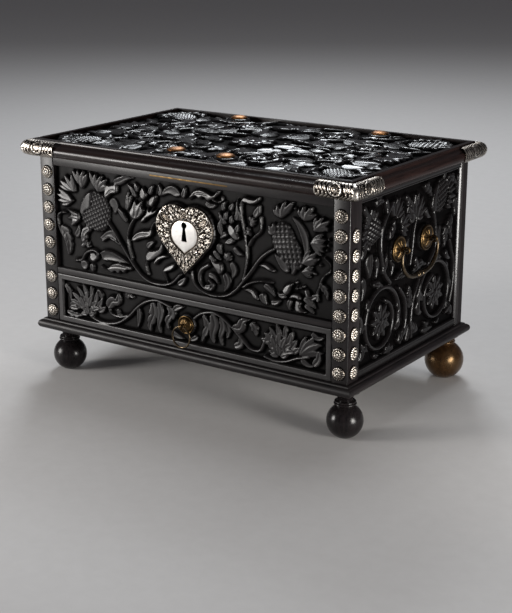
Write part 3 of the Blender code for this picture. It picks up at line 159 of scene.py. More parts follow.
def grain_noise(surface, scale, stretch, detail=6.0):
    """Noise on the piece's own coordinates, drawn out along the grain."""
    place = add_node(surface, "TexCoord")
    mapping = add_node(surface, "Mapping", {"Scale": stretch})
    noise = add_node(surface, "TexNoise", {"Scale": scale, "Detail": detail, "Roughness": 0.62})
    surface.node_tree.links.new(place.outputs["Object"], mapping.inputs["Vector"])
    surface.node_tree.links.new(mapping.outputs["Vector"], noise.inputs["Vector"])
    return noise.outputs["Fac"]


def polished_wood(name, dark, light, stretch, smooth, dull, scale=420.0, bump=0.12, shine=0.40):
    """Close-grained wood under wax: long pores and a cloudy polish."""
    surface, shader, link = new_surface(name)
    grain = grain_noise(surface, scale, stretch)
    cloud = grain_noise(surface, 38.0, EVEN, 4.0)
    link(colour_ramp(surface, grain, [(0.30, dark), (0.74, light)]), shader.inputs["Base Color"])
    link(spread(surface, cloud, smooth, dull), shader.inputs["Roughness"])
    pores = add_node(surface, "Bump", {"Strength": bump, "Distance": 0.0002})
    link(grain, pores.inputs["Height"])
    link(pores.outputs["Normal"], shader.inputs["Normal"])
    shader.inputs["Specular IOR Level"].default_value = shine
    return surface


def plain_ebony(name, grain, smooth, dull, shine):
    """Ebony that is planed or turned, and polished."""
    return polished_wood(name, EBONY_DARK, EBONY_LIGHT, grain, smooth, dull, shine=shine)


def foot_profile(ball):
    """The outline of a foot, from its flange down to the flat it stands on."""
    low_angle = math.acos(FLAT_RADIUS / ball)
    high_angle = math.acos(NECK_RADIUS / ball)
    ball_rise = ball * math.sin(low_angle)
    ring_rise = ball_rise + ball * math.sin(high_angle)
    profile = [(0.0, FOOT_TOP), (FLANGE_RADIUS - 0.0006, FOOT_TOP), (FLANGE_RADIUS, FOOT_TOP - 0.0006)]
    profile += [(FLANGE_RADIUS, FOOT_TOP - 0.0019), (FLANGE_RADIUS - 0.0008, FOOT_TOP - 0.0025)]
    neck_top = FOOT_TOP - 0.0026
    neck_low = ring_rise + 4 * RING_HALF
    for i in range(1, 11):
        fall = i / 10
        flare = (1.0 - fall) ** 2.2
        profile.append((NECK_RADIUS + (FLANGE_RADIUS - 0.0016 - NECK_RADIUS) * flare,
                        neck_top + (neck_low - neck_top) * fall))
    profile += arc((RING_RADIUS - 0.0006 - RING_HALF, ring_rise + 3 * RING_HALF), RING_HALF, 84, -70, 8)
    profile += arc((RING_RADIUS - RING_HALF, ring_rise + RING_HALF), RING_HALF, 70, -78, 8)
    profile += arc((0.0, ball_rise), ball, math.degrees(high_angle) - 9.0, -math.degrees(low_angle), 30)
    return [(radius, max(0.0, height)) for radius, height in profile] + [(0.0, 0.0)]


foot_ebony = plain_ebony("turned ebony", EBONY_GRAIN, smooth=0.20, dull=0.30, shine=0.24)
foot_brown = polished_wood("worn brown wood", BROWN_DARK, BROWN_LIGHT, BROWN_GRAIN, smooth=0.22, dull=0.32,
                           scale=300.0, shine=0.90)
# The specular tint paints the foot's highlights gold: a painted golden highlight
foot_brown.node_tree.nodes["Principled BSDF"].inputs["Specular Tint"].default_value = PAINTED_GOLD_HIGHLIGHT
for corner in ("front_left", "front_right", "back_left", "back_right"):
    low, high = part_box("foot_" + corner)
    is_brown = corner == "back_right"
    foot = turned("turned_foot_" + corner, foot_profile(BROWN_BALL_RADIUS if is_brown else BALL_RADIUS))
    foot.data.transform(Matrix.Translation(((low.x + high.x) / 2, (low.y + high.y) / 2, 0.0)))
    foot.data.materials.append(foot_brown if is_brown else foot_ebony)
    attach(foot, "case")
    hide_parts("foot_" + corner)


# Base
# An ebony board with a half-round moulding mitred round its edge, glued and pinned. The case stands on it,
# and the drawer runs on its top.
BASE_LEVEL = 0.052
BASE_HALF = (0.1985, 0.124)
GRAIN_ALONG = (0.06, 1.0, 1.0)
GRAIN_DEEP = (1.0, 0.06, 1.0)
MITRE_GAP = 0.00005
FRAME_SIDES = (("front", 0, 0, 1), ("right", 90, 1, 0), ("back", 180, 0, 1), ("left", 270, 1, 0))


def moulding(name, section, half_long, half_other, level, turn):
    """One side of a mitred frame: a section of (out, up) points, drawn out and cut at 45 degrees."""
    bpy.ops.mesh.primitive_circle_add(vertices=len(section), radius=0.01, fill_type="NGON")
    piece = bpy.context.active_object
    piece.name = name
    reach = half_long + 0.03
    for corner, (out, up) in zip(piece.data.vertices, section):
        corner.co = (-reach, -half_other - out, level + up)
    bpy.ops.object.mode_set(mode="EDIT")
    bpy.ops.mesh.select_all(action="SELECT")
    bpy.ops.mesh.extrude_region_move(TRANSFORM_OT_translate={"value": (2 * reach, 0.0, 0.0)})
    for side in (-1, 1):
        bpy.ops.mesh.select_all(action="SELECT")
        bpy.ops.mesh.bisect(plane_co=(side * (half_long - MITRE_GAP), -half_other, 0.0),
                            plane_no=(side, 1.0, 0.0), use_fill=True, clear_outer=True)
    bpy.ops.mesh.select_all(action="SELECT")
    bpy.ops.mesh.normals_make_consistent(inside=False)
    bpy.ops.object.mode_set(mode="OBJECT")
    piece.data.transform(Matrix.Rotation(math.radians(turn), 4, "Z"))
    return finished(piece, 40.0)


base_section = [(0.0003, 0.0), (0.0030, 0.0), (0.0036, 0.0006)]
base_section += arc((0.0044, 0.0056), 0.0050, -84, 84, 28)
base_section += [(0.0047, 0.0110), (0.0045, 0.0117), (0.0040, 0.012), (0.0003, 0.012)]
# The moulding's sides take a copy with the grain turned and less shine, so they read darker: painted shade
base_ebony = plain_ebony("base ebony along the front", GRAIN_ALONG, smooth=0.38, dull=0.50, shine=0.28)
base_ebony_dimmed_sides = plain_ebony("base ebony along the sides", GRAIN_DEEP, smooth=0.30, dull=0.42, shine=0.15)
for side, turn, long, other in FRAME_SIDES:
    run = moulding("base_nose_" + side, base_section, BASE_HALF[long], BASE_HALF[other], BASE_LEVEL, turn)
    run.data.materials.append(base_ebony_dimmed_sides if long else base_ebony)
    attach(run, "case")
    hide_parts("base_moulding_" + side)


def dress(node, surface):
    """Give a CAD node that stays in sight a better finish."""
    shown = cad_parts[node]
    shown.data.materials.clear()
    shown.data.materials.append(surface)


dress("base_board", base_ebony)


# Posts and studs
# Four ebony posts stand at the corners and take the panels in grooves. The back ones are rounded on the edge
# next to the side panel. Silver nails with repousse rosette heads run up the outer faces of the front ones.
POST_FRONT_Y = -0.1255
POST_SIDE_X = 0.200
POST_EASE = 0.0007
POST_ROUND = 0.008
STUD_RADIUS = 0.0076
STUD_RISE = 0.0032
STUD_DEPTH = 0.0009
STUD_PETALS = 8
STUD_BEADS = 18
STUD_FOOT = 0.0003
STUD_SUNK = 0.0002
STUD_THIN = 0.0002
STUD_EYE = 0.20
STUD_FLOWER = 0.68
STUD_EDGE = 0.97
STUD_LEVELS = [0.075 + 0.020 * i for i in range(9)]
STUD_TURN = 0.35
STUD_FRONT_X = 0.190
STUD_SIDE_Y = -0.1145
SILVER_DARK = (0.012, 0.009, 0.007, 1.0)
SILVER_WARM = (0.195, 0.166, 0.136, 1.0)
SILVER_BRIGHT = (0.670, 0.635, 0.585, 1.0)
GRAIN_UP = (1.0, 1.0, 0.06)


def board(name, low, high, ease):
    """A planed board between two corners, its edges eased."""
    bpy.ops.mesh.primitive_cube_add(size=1.0)
    piece = bpy.context.active_object
    piece.name = name
    low = Vector(low)
    high = Vector(high)
    bpy.ops.object.mode_set(mode="EDIT")
    bpy.ops.mesh.select_all(action="SELECT")
    bpy.ops.transform.resize(value=high - low)
    bpy.ops.transform.translate(value=(low + high) / 2)
    bpy.ops.mesh.bevel(offset=ease, segments=3, affect="EDGES")
    bpy.ops.object.mode_set(mode="OBJECT")
    return finished(piece)


def mark_crest(piece, crest):
    """Keep on a mesh, as an attribute, how far each point stands out: 0 in a hollow and 1 on a crest."""
    layer = piece.data.attributes.new("crest", "FLOAT", "POINT")
    layer.data.foreach_set("value", np.ascontiguousarray(crest, dtype=np.float32))


def worked_silver(name, smooth, dull, bright):
    """Old silver: bright where it is rubbed, brown-black tarnish in the hollows, fine scratches."""
    surface, shader, link = new_surface(name)
    crest = add_node(surface, "Attribute", attribute_name="crest")
    cloud = grain_noise(surface, 160.0, EVEN)
    scratch = grain_noise(surface, 2600.0, (1.0, 1.0, 0.25), 3.0)
    worn = add_node(surface, "Math", operation="ADD")
    link(crest.outputs["Fac"], worn.inputs[0])
    link(spread(surface, cloud, -0.12, 0.12, 0.3, 0.7), worn.inputs[1])
    stops = [(0.25, SILVER_DARK), (0.60, SILVER_WARM), (0.95, bright)]
    link(colour_ramp(surface, worn.outputs["Value"], stops), shader.inputs["Base Color"])
    link(spread(surface, cloud, smooth, dull), shader.inputs["Roughness"])
    marks = add_node(surface, "Bump", {"Strength": 0.10, "Distance": 0.0001})
    link(scratch, marks.inputs["Height"])
    link(marks.outputs["Normal"], shader.inputs["Normal"])
    shader.inputs["Metallic"].default_value = 1.0
    return surface


def drawn_up(name, outline, foot, head):
    """A post of one outline from its foot to its head."""
    bpy.ops.mesh.primitive_circle_add(vertices=len(outline), radius=0.01, fill_type="NGON")
    piece = bpy.context.active_object
    piece.name = name
    for corner, (x, y) in zip(piece.data.vertices, outline):
        corner.co = (x, y, foot)
    bpy.ops.object.mode_set(mode="EDIT")
    bpy.ops.mesh.select_all(action="SELECT")
    bpy.ops.mesh.extrude_region_move(TRANSFORM_OT_translate={"value": (0.0, 0.0, head - foot)})
    bpy.ops.mesh.select_all(action="SELECT")
    bpy.ops.mesh.normals_make_consistent(inside=False)
    bpy.ops.object.mode_set(mode="OBJECT")
    return finished(piece)


# One ebony in three copies that differ only in shine: the side faces get almost none, so they read dark as
# painted shade, and the eased edges get more, for a painted highlight line
post_ebony = plain_ebony("post ebony", GRAIN_UP, smooth=0.32, dull=0.42, shine=0.32)
post_ebony_dimmed_sides = plain_ebony("post ebony of the sides", GRAIN_UP, smooth=0.26, dull=0.36, shine=0.06)
post_ebony_highlit_edges = plain_ebony("post ebony of the edges", GRAIN_UP, smooth=0.20, dull=0.28, shine=0.60)
silver = worked_silver("worked silver", 0.20, 0.38, SILVER_BRIGHT)

stud_profile = [(0.0, STUD_RISE)]
for i in range(1, 25):
    dome = math.sqrt(1.0 - (i / 24) ** 2)
    stud_profile.append((STUD_RADIUS * i / 24, STUD_FOOT + (STUD_RISE - STUD_FOOT) * dome))
stud_profile += [(STUD_RADIUS, -STUD_SUNK), (0.0, -STUD_SUNK)]
stud_model = turned("stud_model", stud_profile, 72)
stud_crest = []
for corner in stud_model.data.vertices:
    share = math.hypot(corner.co.x, corner.co.y) / STUD_RADIUS
    angle = math.atan2(corner.co.y, corner.co.x)
    form = 0.0
    if share < STUD_EYE:
        form = math.sqrt(max(0.0, 1.0 - (share / STUD_EYE) ** 2))
    elif share < STUD_FLOWER:
        form = abs(math.cos(STUD_PETALS / 2 * angle)) ** 0.5
        form *= math.sin(math.pi * (share - STUD_EYE) / 0.48) ** 0.5
        form *= 1.0 - 0.6 * math.exp(-(math.sin(STUD_PETALS / 2 * angle) / 0.20) ** 2) * (share > 0.34)
    elif share < STUD_EDGE:
        form = abs(math.cos(STUD_BEADS / 2 * angle)) ** 0.6
        form *= math.sin(math.pi * (share - STUD_FLOWER) / 0.29) ** 0.5
    if corner.co.z > STUD_THIN:
        corner.co.z = max(STUD_THIN, corner.co.z - STUD_DEPTH * (1.0 - form) * (1.0 - 0.4 * share))
    stud_crest.append(0.08 + 0.92 * form)
mark_crest(stud_model, stud_crest)
finished(stud_model, 60.0)
stud_model.data.materials.append(silver)

for label, side in (("left", -1), ("right", 1)):
    for end in ("front", "back"):
        node = end + "_" + label + "_post"
        low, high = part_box(node)
        if end == "front":
            low.y = POST_FRONT_Y
            low.x = max(low.x, -POST_SIDE_X)
            high.x = min(high.x, POST_SIDE_X)
            post = board("ebony_post_front_" + label, low, high, POST_EASE)
        else:
            outer = max(abs(low.x), abs(high.x))
            inner = min(abs(low.x), abs(high.x))
            outline = [(inner, low.y)]
            outline += arc((outer - POST_ROUND, low.y + POST_ROUND * 0.826), POST_ROUND, -55.7, 0, 14)
            outline += [(outer, high.y - POST_EASE), (outer - POST_EASE, high.y), (inner, high.y)]
            post = drawn_up("ebony_post_back_" + label, [(side * x, y) for x, y in outline], low.z, high.z)
        for surface in (post_ebony, post_ebony_dimmed_sides, post_ebony_highlit_edges):
            post.data.materials.append(surface)
        for face in post.data.polygons:
            out = abs(face.normal.x)
            face.material_index = 1 if out > 0.98 else 2 if out > 0.2 else 0
        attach(post, "case")
        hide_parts(node)
    studs = []
    for i, level in enumerate(STUD_LEVELS):
        spin = Matrix.Rotation(STUD_TURN * i, 4, "Z")
        forward = Matrix.Translation((side * STUD_FRONT_X, POST_FRONT_Y, level))
        forward = forward @ Matrix.Rotation(math.pi / 2, 4, "X")
        studs.append(copied(stud_model, "stud", forward @ spin))
        if i < len(STUD_LEVELS) - 1:
            outward = Matrix.Translation((side * POST_SIDE_X, STUD_SIDE_Y, level))
            outward = outward @ Matrix.Rotation(side * math.pi / 2, 4, "Y")
            studs.append(copied(stud_model, "stud", outward @ spin))
    bpy.ops.object.select_all(action="DESELECT")
    for stud in studs:
        stud.select_set(True)
    bpy.context.view_layer.objects.active = studs[0]
    bpy.ops.object.join()
    row = bpy.context.active_object
    row.name = "silver_studs_" + label
    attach(row, "case")
    bpy.ops.object.select_all(action="DESELECT")
bpy.data.objects.remove(stud_model)


# Front rails
# Two plain ebony rails tie the front posts together, above the carved panel and above the drawer. The top
# one is inlaid with a thin strip of golden brass.
RAIL_EASE = 0.0008
INLAY_EASE = 0.0002
GOLD_DARK = (0.060, 0.036, 0.015, 1.0)
GOLD_LIGHT = (0.185, 0.118, 0.050, 1.0)


def old_brass(name, dark, light, smooth, dull):
    """Brass gone brown: cloudy patina, rubbed lighter in patches, with fine wear."""
    surface, shader, link = new_surface(name)
    cloud = grain_noise(surface, 120.0, EVEN)
    fine = grain_noise(surface, 1500.0, EVEN, 3.0)
    link(colour_ramp(surface, cloud, [(0.28, dark), (0.70, light)]), shader.inputs["Base Color"])
    link(spread(surface, cloud, dull, smooth), shader.inputs["Roughness"])
    wear = add_node(surface, "Bump", {"Strength": 0.08, "Distance": 0.0001})
    link(fine, wear.inputs["Height"])
    link(wear.outputs["Normal"], shader.inputs["Normal"])
    shader.inputs["Metallic"].default_value = 1.0
    return surface


rail_ebony = plain_ebony("rail ebony", GRAIN_ALONG, smooth=0.33, dull=0.43, shine=0.32)
gold_inlay = old_brass("golden inlay", GOLD_DARK, GOLD_LIGHT, 0.42, 0.60)
for node, ease, surface, slot in (("front_top_rail", RAIL_EASE, rail_ebony, "ebony"),
                                  ("front_mid_rail", RAIL_EASE, rail_ebony, "ebony"),
                                  ("rail_inlay", INLAY_EASE, gold_inlay, "brass")):
    low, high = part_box(node)
    rail = board("eased_" + node, low, high, ease)
    rail.data.materials.append(surface)
    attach(rail, "case")
    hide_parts(node)


# Front panel
# One ebony board, its ground cut back by six millimetres so that stems, leaves and seed heads stand up in
# high relief. It is carved from the solid with gouges, finished by knife and waxed.
# The carved front's ebony is given lighter colours than the same ebony elsewhere: painted light on the lit
# front
LIT_FRONT_EBONY_DARK = (0.0105, 0.0088, 0.0092, 1.0)
LIT_FRONT_EBONY_LIGHT = (0.0155, 0.0137, 0.0143, 1.0)
FRONT_PITCH = 0.68
FRONT_FIELD = (-181.5, 181.5, 127.4, 242.6)
FRONT_GROUND_Y = -0.1195
FRONT_BACK_Y = -0.1095
HEART_POINT = 146.8
HEART_PAD = (0.0252, 0.0125, 0.0497)
PAD_RISE = 5.0
KEY_SLOT_HALF = 4.2
KEY_SLOT_ENDS = (181.0, 204.6)
KEY_SLOT_DEPTH = 8.0


def smooth_path(points, step=0.8):
    """A curve through points, sampled about every step millimetres."""
    knots = np.array(points, float)
    before = 2 * knots[0] - knots[1]
    after = 2 * knots[-1] - knots[-2]
    knots = np.vstack([before, knots, after])
    path = []
    for a, b, c, d in zip(knots, knots[1:], knots[2:], knots[3:]):
        count = max(2, int(np.linalg.norm(c - b) / step))
        t = np.linspace(0.0, 1.0, count, endpoint=False)[:, None]
        path.append(0.5 * (2 * b + (c - a) * t + (2 * a - 5 * b + 4 * c - d) * t ** 2
                           + (3 * b - a - 3 * c + d) * t ** 3))
    path.append(knots[-2][None])
    return np.vstack(path)


def inside_outline(outline, u, v):
    """Which points lie inside a closed outline."""
    within = np.zeros(u.shape, bool)
    for (u1, v1), (u2, v2) in zip(outline, outline[1:] + outline[:1]):
        crosses = (v1 > v) != (v2 > v)
        slope = (u2 - u1) / (v2 - v1 if v2 != v1 else 1e-9)
        within ^= crosses & (u < u1 + (v - v1) * slope)
    return within


class Relief:
    """Heights of carving over a ground, at points (u, v) of a board, all in millimetres."""

    def __init__(self, u, v):
        self.u = u
        self.v = v
        self.height = np.zeros_like(u)
        self.dome = 0.0

    def along(self, path, reach):
        """Points near a path: which they are, how far along it (0 to 1), and how far to its left."""
        low = path.min(axis=0) - reach
        high = path.max(axis=0) + reach
        near_box = (self.u > low[0]) & (self.u < high[0]) & (self.v > low[1]) & (self.v < high[1])
        chosen = np.nonzero(near_box)[0]
        run = np.diff(path, axis=0)
        length = np.hypot(run[:, 0], run[:, 1])
        sofar = np.concatenate([[0.0], np.cumsum(length)])
        best = np.full(len(chosen), 1e9)
        share = np.zeros(len(chosen))
        side = np.ones(len(chosen))
        for i in range(len(run)):
            du = self.u[chosen] - path[i, 0]
            dv = self.v[chosen] - path[i, 1]
            t = np.clip((du * run[i, 0] + dv * run[i, 1]) / length[i] ** 2, 0.0, 1.0)
            gap = np.hypot(du - t * run[i, 0], dv - t * run[i, 1])
            near = gap < best
            best[near] = gap[near]
            share[near] = (sofar[i] + t[near] * length[i]) / sofar[-1]
            side[near] = np.sign(run[i, 0] * dv[near] - run[i, 1] * du[near] + 1e-12)
        keep = best < reach
        return chosen[keep], share[keep], (best * side)[keep]

    def lay(self, chosen, height):
        """Raise the chosen points to a height, where they aren't higher already."""
        self.height[chosen] = np.maximum(self.height[chosen], height)

    def stem(self, points, wide_start, wide_end, rise):
        """A round stem that tapers, its sides upright for a third of its rise."""
        foot = 0.35
        chosen, share, offset = self.along(smooth_path(points), max(wide_start, wide_end))
        half = wide_start + (wide_end - wide_start) * share
        across = np.abs(offset) / half
        inside = across < 1.0
        crown = np.sqrt(1.0 - across[inside] ** 2)
        self.lay(chosen[inside], rise * (foot + (1.0 - foot) * crown))

    def leaf(self, points, half_width, rise, lobes=0, tilt=0.0, lift=0.0, blunt=0.6, groove=0.7,
             hollow=0.08):
        """A leaf along a spine: lobed edge, midrib, a tilted or dished face, a lifted tip."""
        chosen, share, offset = self.along(smooth_path(points), half_width * 1.3)
        swell = np.sin(np.pi * share ** blunt) ** 0.75
        across = np.abs(offset) / half_width
        if lobes:
            beat = np.abs(np.sin(np.pi * (lobes * share - 0.55 * across)))
            swell = swell * (0.70 + 0.45 * beat ** 0.6)
        ratio = across / np.maximum(swell, 1e-3)
        inside = ratio < 1.0
        chosen, share, offset, ratio, across = (a[inside] for a in (chosen, share, offset, ratio, across))
        form = 0.76 + 0.24 * np.sqrt(1.0 - ratio ** 4) - hollow * (1.0 - ratio ** 2)
        if self.dome:
            form = 1.0 - self.dome * ratio ** 2
        form += tilt * offset / half_width + lift * share ** 2
        height = rise * form
        height -= groove * np.exp(-(offset / 0.8) ** 2) * np.minimum(1.0, 4.0 * (1.0 - share))
        if lobes:
            height -= 0.5 * (1.0 - beat[inside]) ** 3 * np.minimum(1.0, 3.0 * across)
        self.lay(chosen, np.maximum(height, 0.3))

    def shape(self, outline, rise, lean=(0.0, 0.0), dish=0.0):
        """A flat-topped form inside a closed outline: rounded rim, and a face that leans or is dished."""
        edge = 0.8
        path = smooth_path(outline + outline[:1])
        middle = path.mean(axis=0)
        reach = float(max(path.max(axis=0) - path.min(axis=0)))
        chosen, _, offset = self.along(path, reach)
        within = inside_outline([tuple(point) for point in path], self.u[chosen], self.v[chosen])
        chosen = chosen[within]
        gap = np.abs(offset[within])
        rim = np.sqrt(1.0 - (1.0 - np.clip(gap / edge, 0.0, 1.0)) ** 2)
        height = rise * (0.70 + 0.30 * rim) - dish * np.clip((gap - edge) / 3.0, 0.0, 1.0)
        height += lean[0] * (self.u[chosen] - middle[0]) + lean[1] * (self.v[chosen] - middle[1])
        self.lay(chosen, np.clip(height, 0.4, 5.4))

    def groove(self, points, deep, wide):
        """A line engraved in what is carved so far."""
        chosen, share, offset = self.along(smooth_path(points), wide * 2.5)
        line = np.exp(-(offset / wide) ** 2) * np.minimum(1.0, 6.0 * np.minimum(share, 1.0 - share) + 0.3)
        self.height[chosen] = np.where(self.height[chosen] > 0.8, self.height[chosen] - deep * line,
                                       self.height[chosen])

    def tuft(self, root, tips, half_width, rise):
        """A tuft of thin petals that part from one root, the outer ones lower."""
        for i, tip in enumerate(tips):
            middle = (0.5 * (root[0] + tip[0]), 0.5 * (root[1] + tip[1]))
            lower = 0.16 * abs(2 * i / (len(tips) - 1) - 1.0)
            self.leaf([root, middle, tip], half_width, rise * (1.0 - lower), blunt=1.25, groove=0.0,
                      tilt=0.14)

    def fan(self, centre, start, end, count, inner, outer, half_width, rise, bend=0.0):
        """Finger petals side by side round a centre, from one angle to another, every second one lower."""
        for i in range(count):
            share = i / max(1, count - 1)
            angle = math.radians(start + (end - start) * share)
            tip = angle + math.radians(bend)
            reach = outer * (0.90 + 0.10 * math.cos(math.pi * (2 * share - 1)))
            spine = []
            bends = ((inner, angle), ((inner + reach) / 2, 0.6 * angle + 0.4 * tip), (reach, tip))
            for radius, turn in bends:
                spine.append((centre[0] + radius * math.cos(turn), centre[1] + radius * math.sin(turn)))
            self.leaf(spine, half_width, rise * (1.0 - 0.14 * (i % 2)), blunt=0.95, groove=0.35, lift=0.12)

    def pod(self, centre, angle, long, wide, rise, pitch=3.2, lattice=45.0, taper=0.0, cut=0.85):
        """A swollen seed head, crossed by two sets of cuts; taper narrows it to its tip."""
        turn = math.radians(angle)
        du = self.u - centre[0]
        dv = self.v - centre[1]
        along = du * math.cos(turn) + dv * math.sin(turn)
        across = -du * math.sin(turn) + dv * math.cos(turn)
        half = wide / 2 * (1.0 - taper * 2 * along / long)
        edge = np.abs(2 * along / long) ** 2.4 + np.abs(across / np.maximum(half, 1e-3)) ** 2.4
        chosen = np.nonzero(edge < 1.0)[0]
        crown = np.sqrt(1.0 - edge[chosen])
        height = rise * (0.50 + 0.50 * crown) + 0.25
        for slant in (lattice, lattice + 88.0):
            line = du[chosen] * math.cos(math.radians(slant)) + dv[chosen] * math.sin(math.radians(slant))
            off = np.abs((line / pitch) % 1.0 - 0.5) * 2.0
            height -= cut * off ** 2.6
        self.lay(chosen, height)

    def scroll(self, centre, start, turns, outer, inner, wide, rise, hand=1):
        """A stem that winds in towards a centre."""
        points = []
        count = max(6, int(12 * turns))
        for i in range(count + 1):
            angle = math.radians(start + hand * 360.0 * turns * i / count)
            radius = outer + (inner - outer) * i / count
            points.append((centre[0] + radius * math.cos(angle), centre[1] + radius * math.sin(angle)))
        self.stem(points, wide, wide * 0.85, rise)

    def bud(self, centre, radius, rise):
        """A round bead or berry."""
        gap = np.hypot(self.u - centre[0], self.v - centre[1]) / radius
        chosen = np.nonzero(gap < 1.0)[0]
        self.lay(chosen, rise * (0.5 + 0.5 * np.sqrt(1.0 - gap[chosen] ** 2)))

    def blossom(self, centre, radius, petals, rise, start=0.0):
        """A round open flower: broad petals, a second ring between them and a seed in the middle."""
        for ring, (share, width, lower) in enumerate(((1.0, 1.0, 0.86), (0.66, 0.72, 1.0))):
            for i in range(petals):
                angle = math.radians(start + 360.0 * (i + 0.5 * ring) / petals)
                spine = [(centre[0] + radius * share * k * math.cos(angle),
                          centre[1] + radius * share * k * math.sin(angle)) for k in (0.15, 0.6, 1.0)]
                self.leaf(spine, radius * 1.9 / petals * width, rise * lower, blunt=1.35, groove=0.4,
                          hollow=0.12)
        self.bud(centre, radius * 0.22, rise * 1.08)

    def flat(self, centre, radius, rise):
        """A plain round pad for a rosette or a rivet head, with the carving cut away round it."""
        gap = np.hypot(self.u - centre[0], self.v - centre[1])
        self.height[gap < radius] = rise
        self.height[(gap >= radius) & (gap < radius + 0.9)] = 0.0


def soften(height):
    """One light rub over the cut edges."""
    for axis in (0, 1):
        padded = np.concatenate([np.take(height, [0], axis), height, np.take(height, [-1], axis)], axis)
        count = height.shape[axis]
        before, middle, after = (np.take(padded, range(k, k + count), axis) for k in range(3))
        height = 0.17 * before + 0.66 * middle + 0.17 * after
    return height


def hollows(height, reach):
    """How far each point stands above the mean of those round it."""
    mean = height
    for axis in (0, 1):
        ends = [(0, 0), (0, 0)]
        ends[axis] = (reach + 1, reach)
        total = np.cumsum(np.pad(mean, ends, mode="edge"), axis)
        count = height.shape[axis]
        last = np.take(total, range(2 * reach + 1, 2 * reach + 1 + count), axis)
        first = np.take(total, range(count), axis)
        mean = (last - first) / (2 * reach + 1)
    return height - mean


def carved_board(name, field, pitch, carve, lay_out, back_axis, back_level):
    """A board with a fine net of points on its face, which carve raises and lay_out sets in place.
    Its edges and its planed back take the second material.
    """
    count_u = round((field[1] - field[0]) / pitch)
    count_v = round((field[3] - field[2]) / pitch)
    u, v = np.meshgrid(np.linspace(field[0], field[1], count_u + 1),
                       np.linspace(field[2], field[3], count_v + 1))
    relief = Relief(u.ravel(), v.ravel())
    carve(relief)
    height = soften(relief.height.reshape(u.shape))
    bpy.ops.mesh.primitive_grid_add(x_subdivisions=count_u, y_subdivisions=count_v, size=1.0)
    piece = bpy.context.active_object
    piece.name = name
    mesh = piece.data
    net = np.empty(len(mesh.vertices) * 3, np.float32)
    mesh.vertices.foreach_get("co", net)
    column = np.rint((net[0::3] + 0.5) * count_u).astype(int)
    row = np.rint((net[1::3] + 0.5) * count_v).astype(int)
    places = lay_out(u[row, column] / 1000.0, v[row, column] / 1000.0, height[row, column] / 1000.0)
    mesh.vertices.foreach_set("co", np.stack(places, axis=1).astype(np.float32).ravel())
    # crest: how far each point stands out; carved ebony darkens its colour from it in the hollows, as
    # painted shade
    stands_out = hollows(height, max(2, round(3.5 / pitch)))
    crest = 0.26 + 0.5 * np.clip(height / np.max(height), 0.0, 1.0) + stands_out / np.max(height) * 0.55
    mark_crest(piece, np.clip(crest, 0.0, 1.0)[row, column])
    face_points = len(mesh.vertices)
    bpy.ops.object.mode_set(mode="EDIT")
    bpy.ops.mesh.select_mode(type="EDGE")
    bpy.ops.mesh.select_all(action="DESELECT")
    bpy.ops.mesh.select_non_manifold(extend=False, use_wire=False, use_multi_face=False,
                                     use_non_contiguous=False, use_verts=False)
    bpy.ops.mesh.extrude_region_move(TRANSFORM_OT_translate={"value": (0.0, 0.0, 0.0)})
    bpy.ops.object.mode_set(mode="OBJECT")
    for corner in mesh.vertices[face_points:]:
        corner.co[back_axis] = back_level
    bpy.ops.object.mode_set(mode="EDIT")
    bpy.ops.mesh.edge_face_add()
    bpy.ops.mesh.poke()
    bpy.ops.mesh.select_all(action="SELECT")
    bpy.ops.mesh.normals_make_consistent(inside=False)
    bpy.ops.mesh.select_mode(type="VERT")
    bpy.ops.object.mode_set(mode="OBJECT")
    for face in mesh.polygons:
        face.material_index = int(max(face.vertices) >= face_points)
    return finished(piece, 75.0)


def carved_ebony(name, stretch, dark, light, deep, smooth, dull, shine, marks):
    """Carved ebony: shinier and smoother on the crests; in the hollows less shine, and its colour darkened
    there as painted shade.
    """
    surface, shader, link = new_surface(name)
    crest = add_node(surface, "Attribute", attribute_name="crest").outputs["Fac"]
    grain = grain_noise(surface, 420.0, stretch)
    cloud = grain_noise(surface, 45.0, EVEN, 4.0)
    cut_marks = grain_noise(surface, 900.0, EVEN, 2.0)
    wood = colour_ramp(surface, grain, [(0.30, dark), (0.74, light)])
    # The wood's colour is multiplied down towards the hollows by the crest attribute: painted shade where
    # the relief would be shaded
    painted_shade = add_node(surface, "Mix", {"Factor": 1.0}, data_type="RGBA", blend_type="MULTIPLY")
    link(wood, painted_shade.inputs["A"])
    link(spread(surface, crest, 0.08, 1.0, 0.05, 0.85), painted_shade.inputs["B"])
    link(painted_shade.outputs["Result"], shader.inputs["Base Color"])
    # Less shine in the hollows as well, standing in for shade in the carving
    link(spread(surface, crest, 0.01, shine, deep, 0.85), shader.inputs["Specular IOR Level"])
    patchy = add_node(surface, "Math", operation="MULTIPLY")
    link(spread(surface, crest, dull, smooth, 0.25, 0.80), patchy.inputs[0])
    link(spread(surface, cloud, 0.85, 1.25), patchy.inputs[1])
    link(patchy.outputs["Value"], shader.inputs["Roughness"])
    tool_marks = add_node(surface, "Bump", {"Strength": marks, "Distance": 0.0003})
    link(cut_marks, tool_marks.inputs["Height"])
    pores = add_node(surface, "Bump", {"Strength": marks * 0.7, "Distance": 0.0002})
    link(grain, pores.inputs["Height"])
    link(tool_marks.outputs["Normal"], pores.inputs["Normal"])
    link(pores.outputs["Normal"], shader.inputs["Normal"])
    return surface


def heart_outline(lobe_radius, lobe_offset, drop, steps):
    """Two round lobes and straight flanks that meet in a point at (0, 0)."""
    lean = math.atan2(lobe_offset, drop) + math.asin(lobe_radius / math.hypot(lobe_offset, drop))
    notch = 180.0 - math.degrees(math.acos(lobe_offset / lobe_radius))
    right = arc((lobe_offset, drop), lobe_radius, -math.degrees(lean), notch, steps)
    return [(0.0, 0.0)] + right + [(-x, y) for x, y in reversed(right[:-1])]


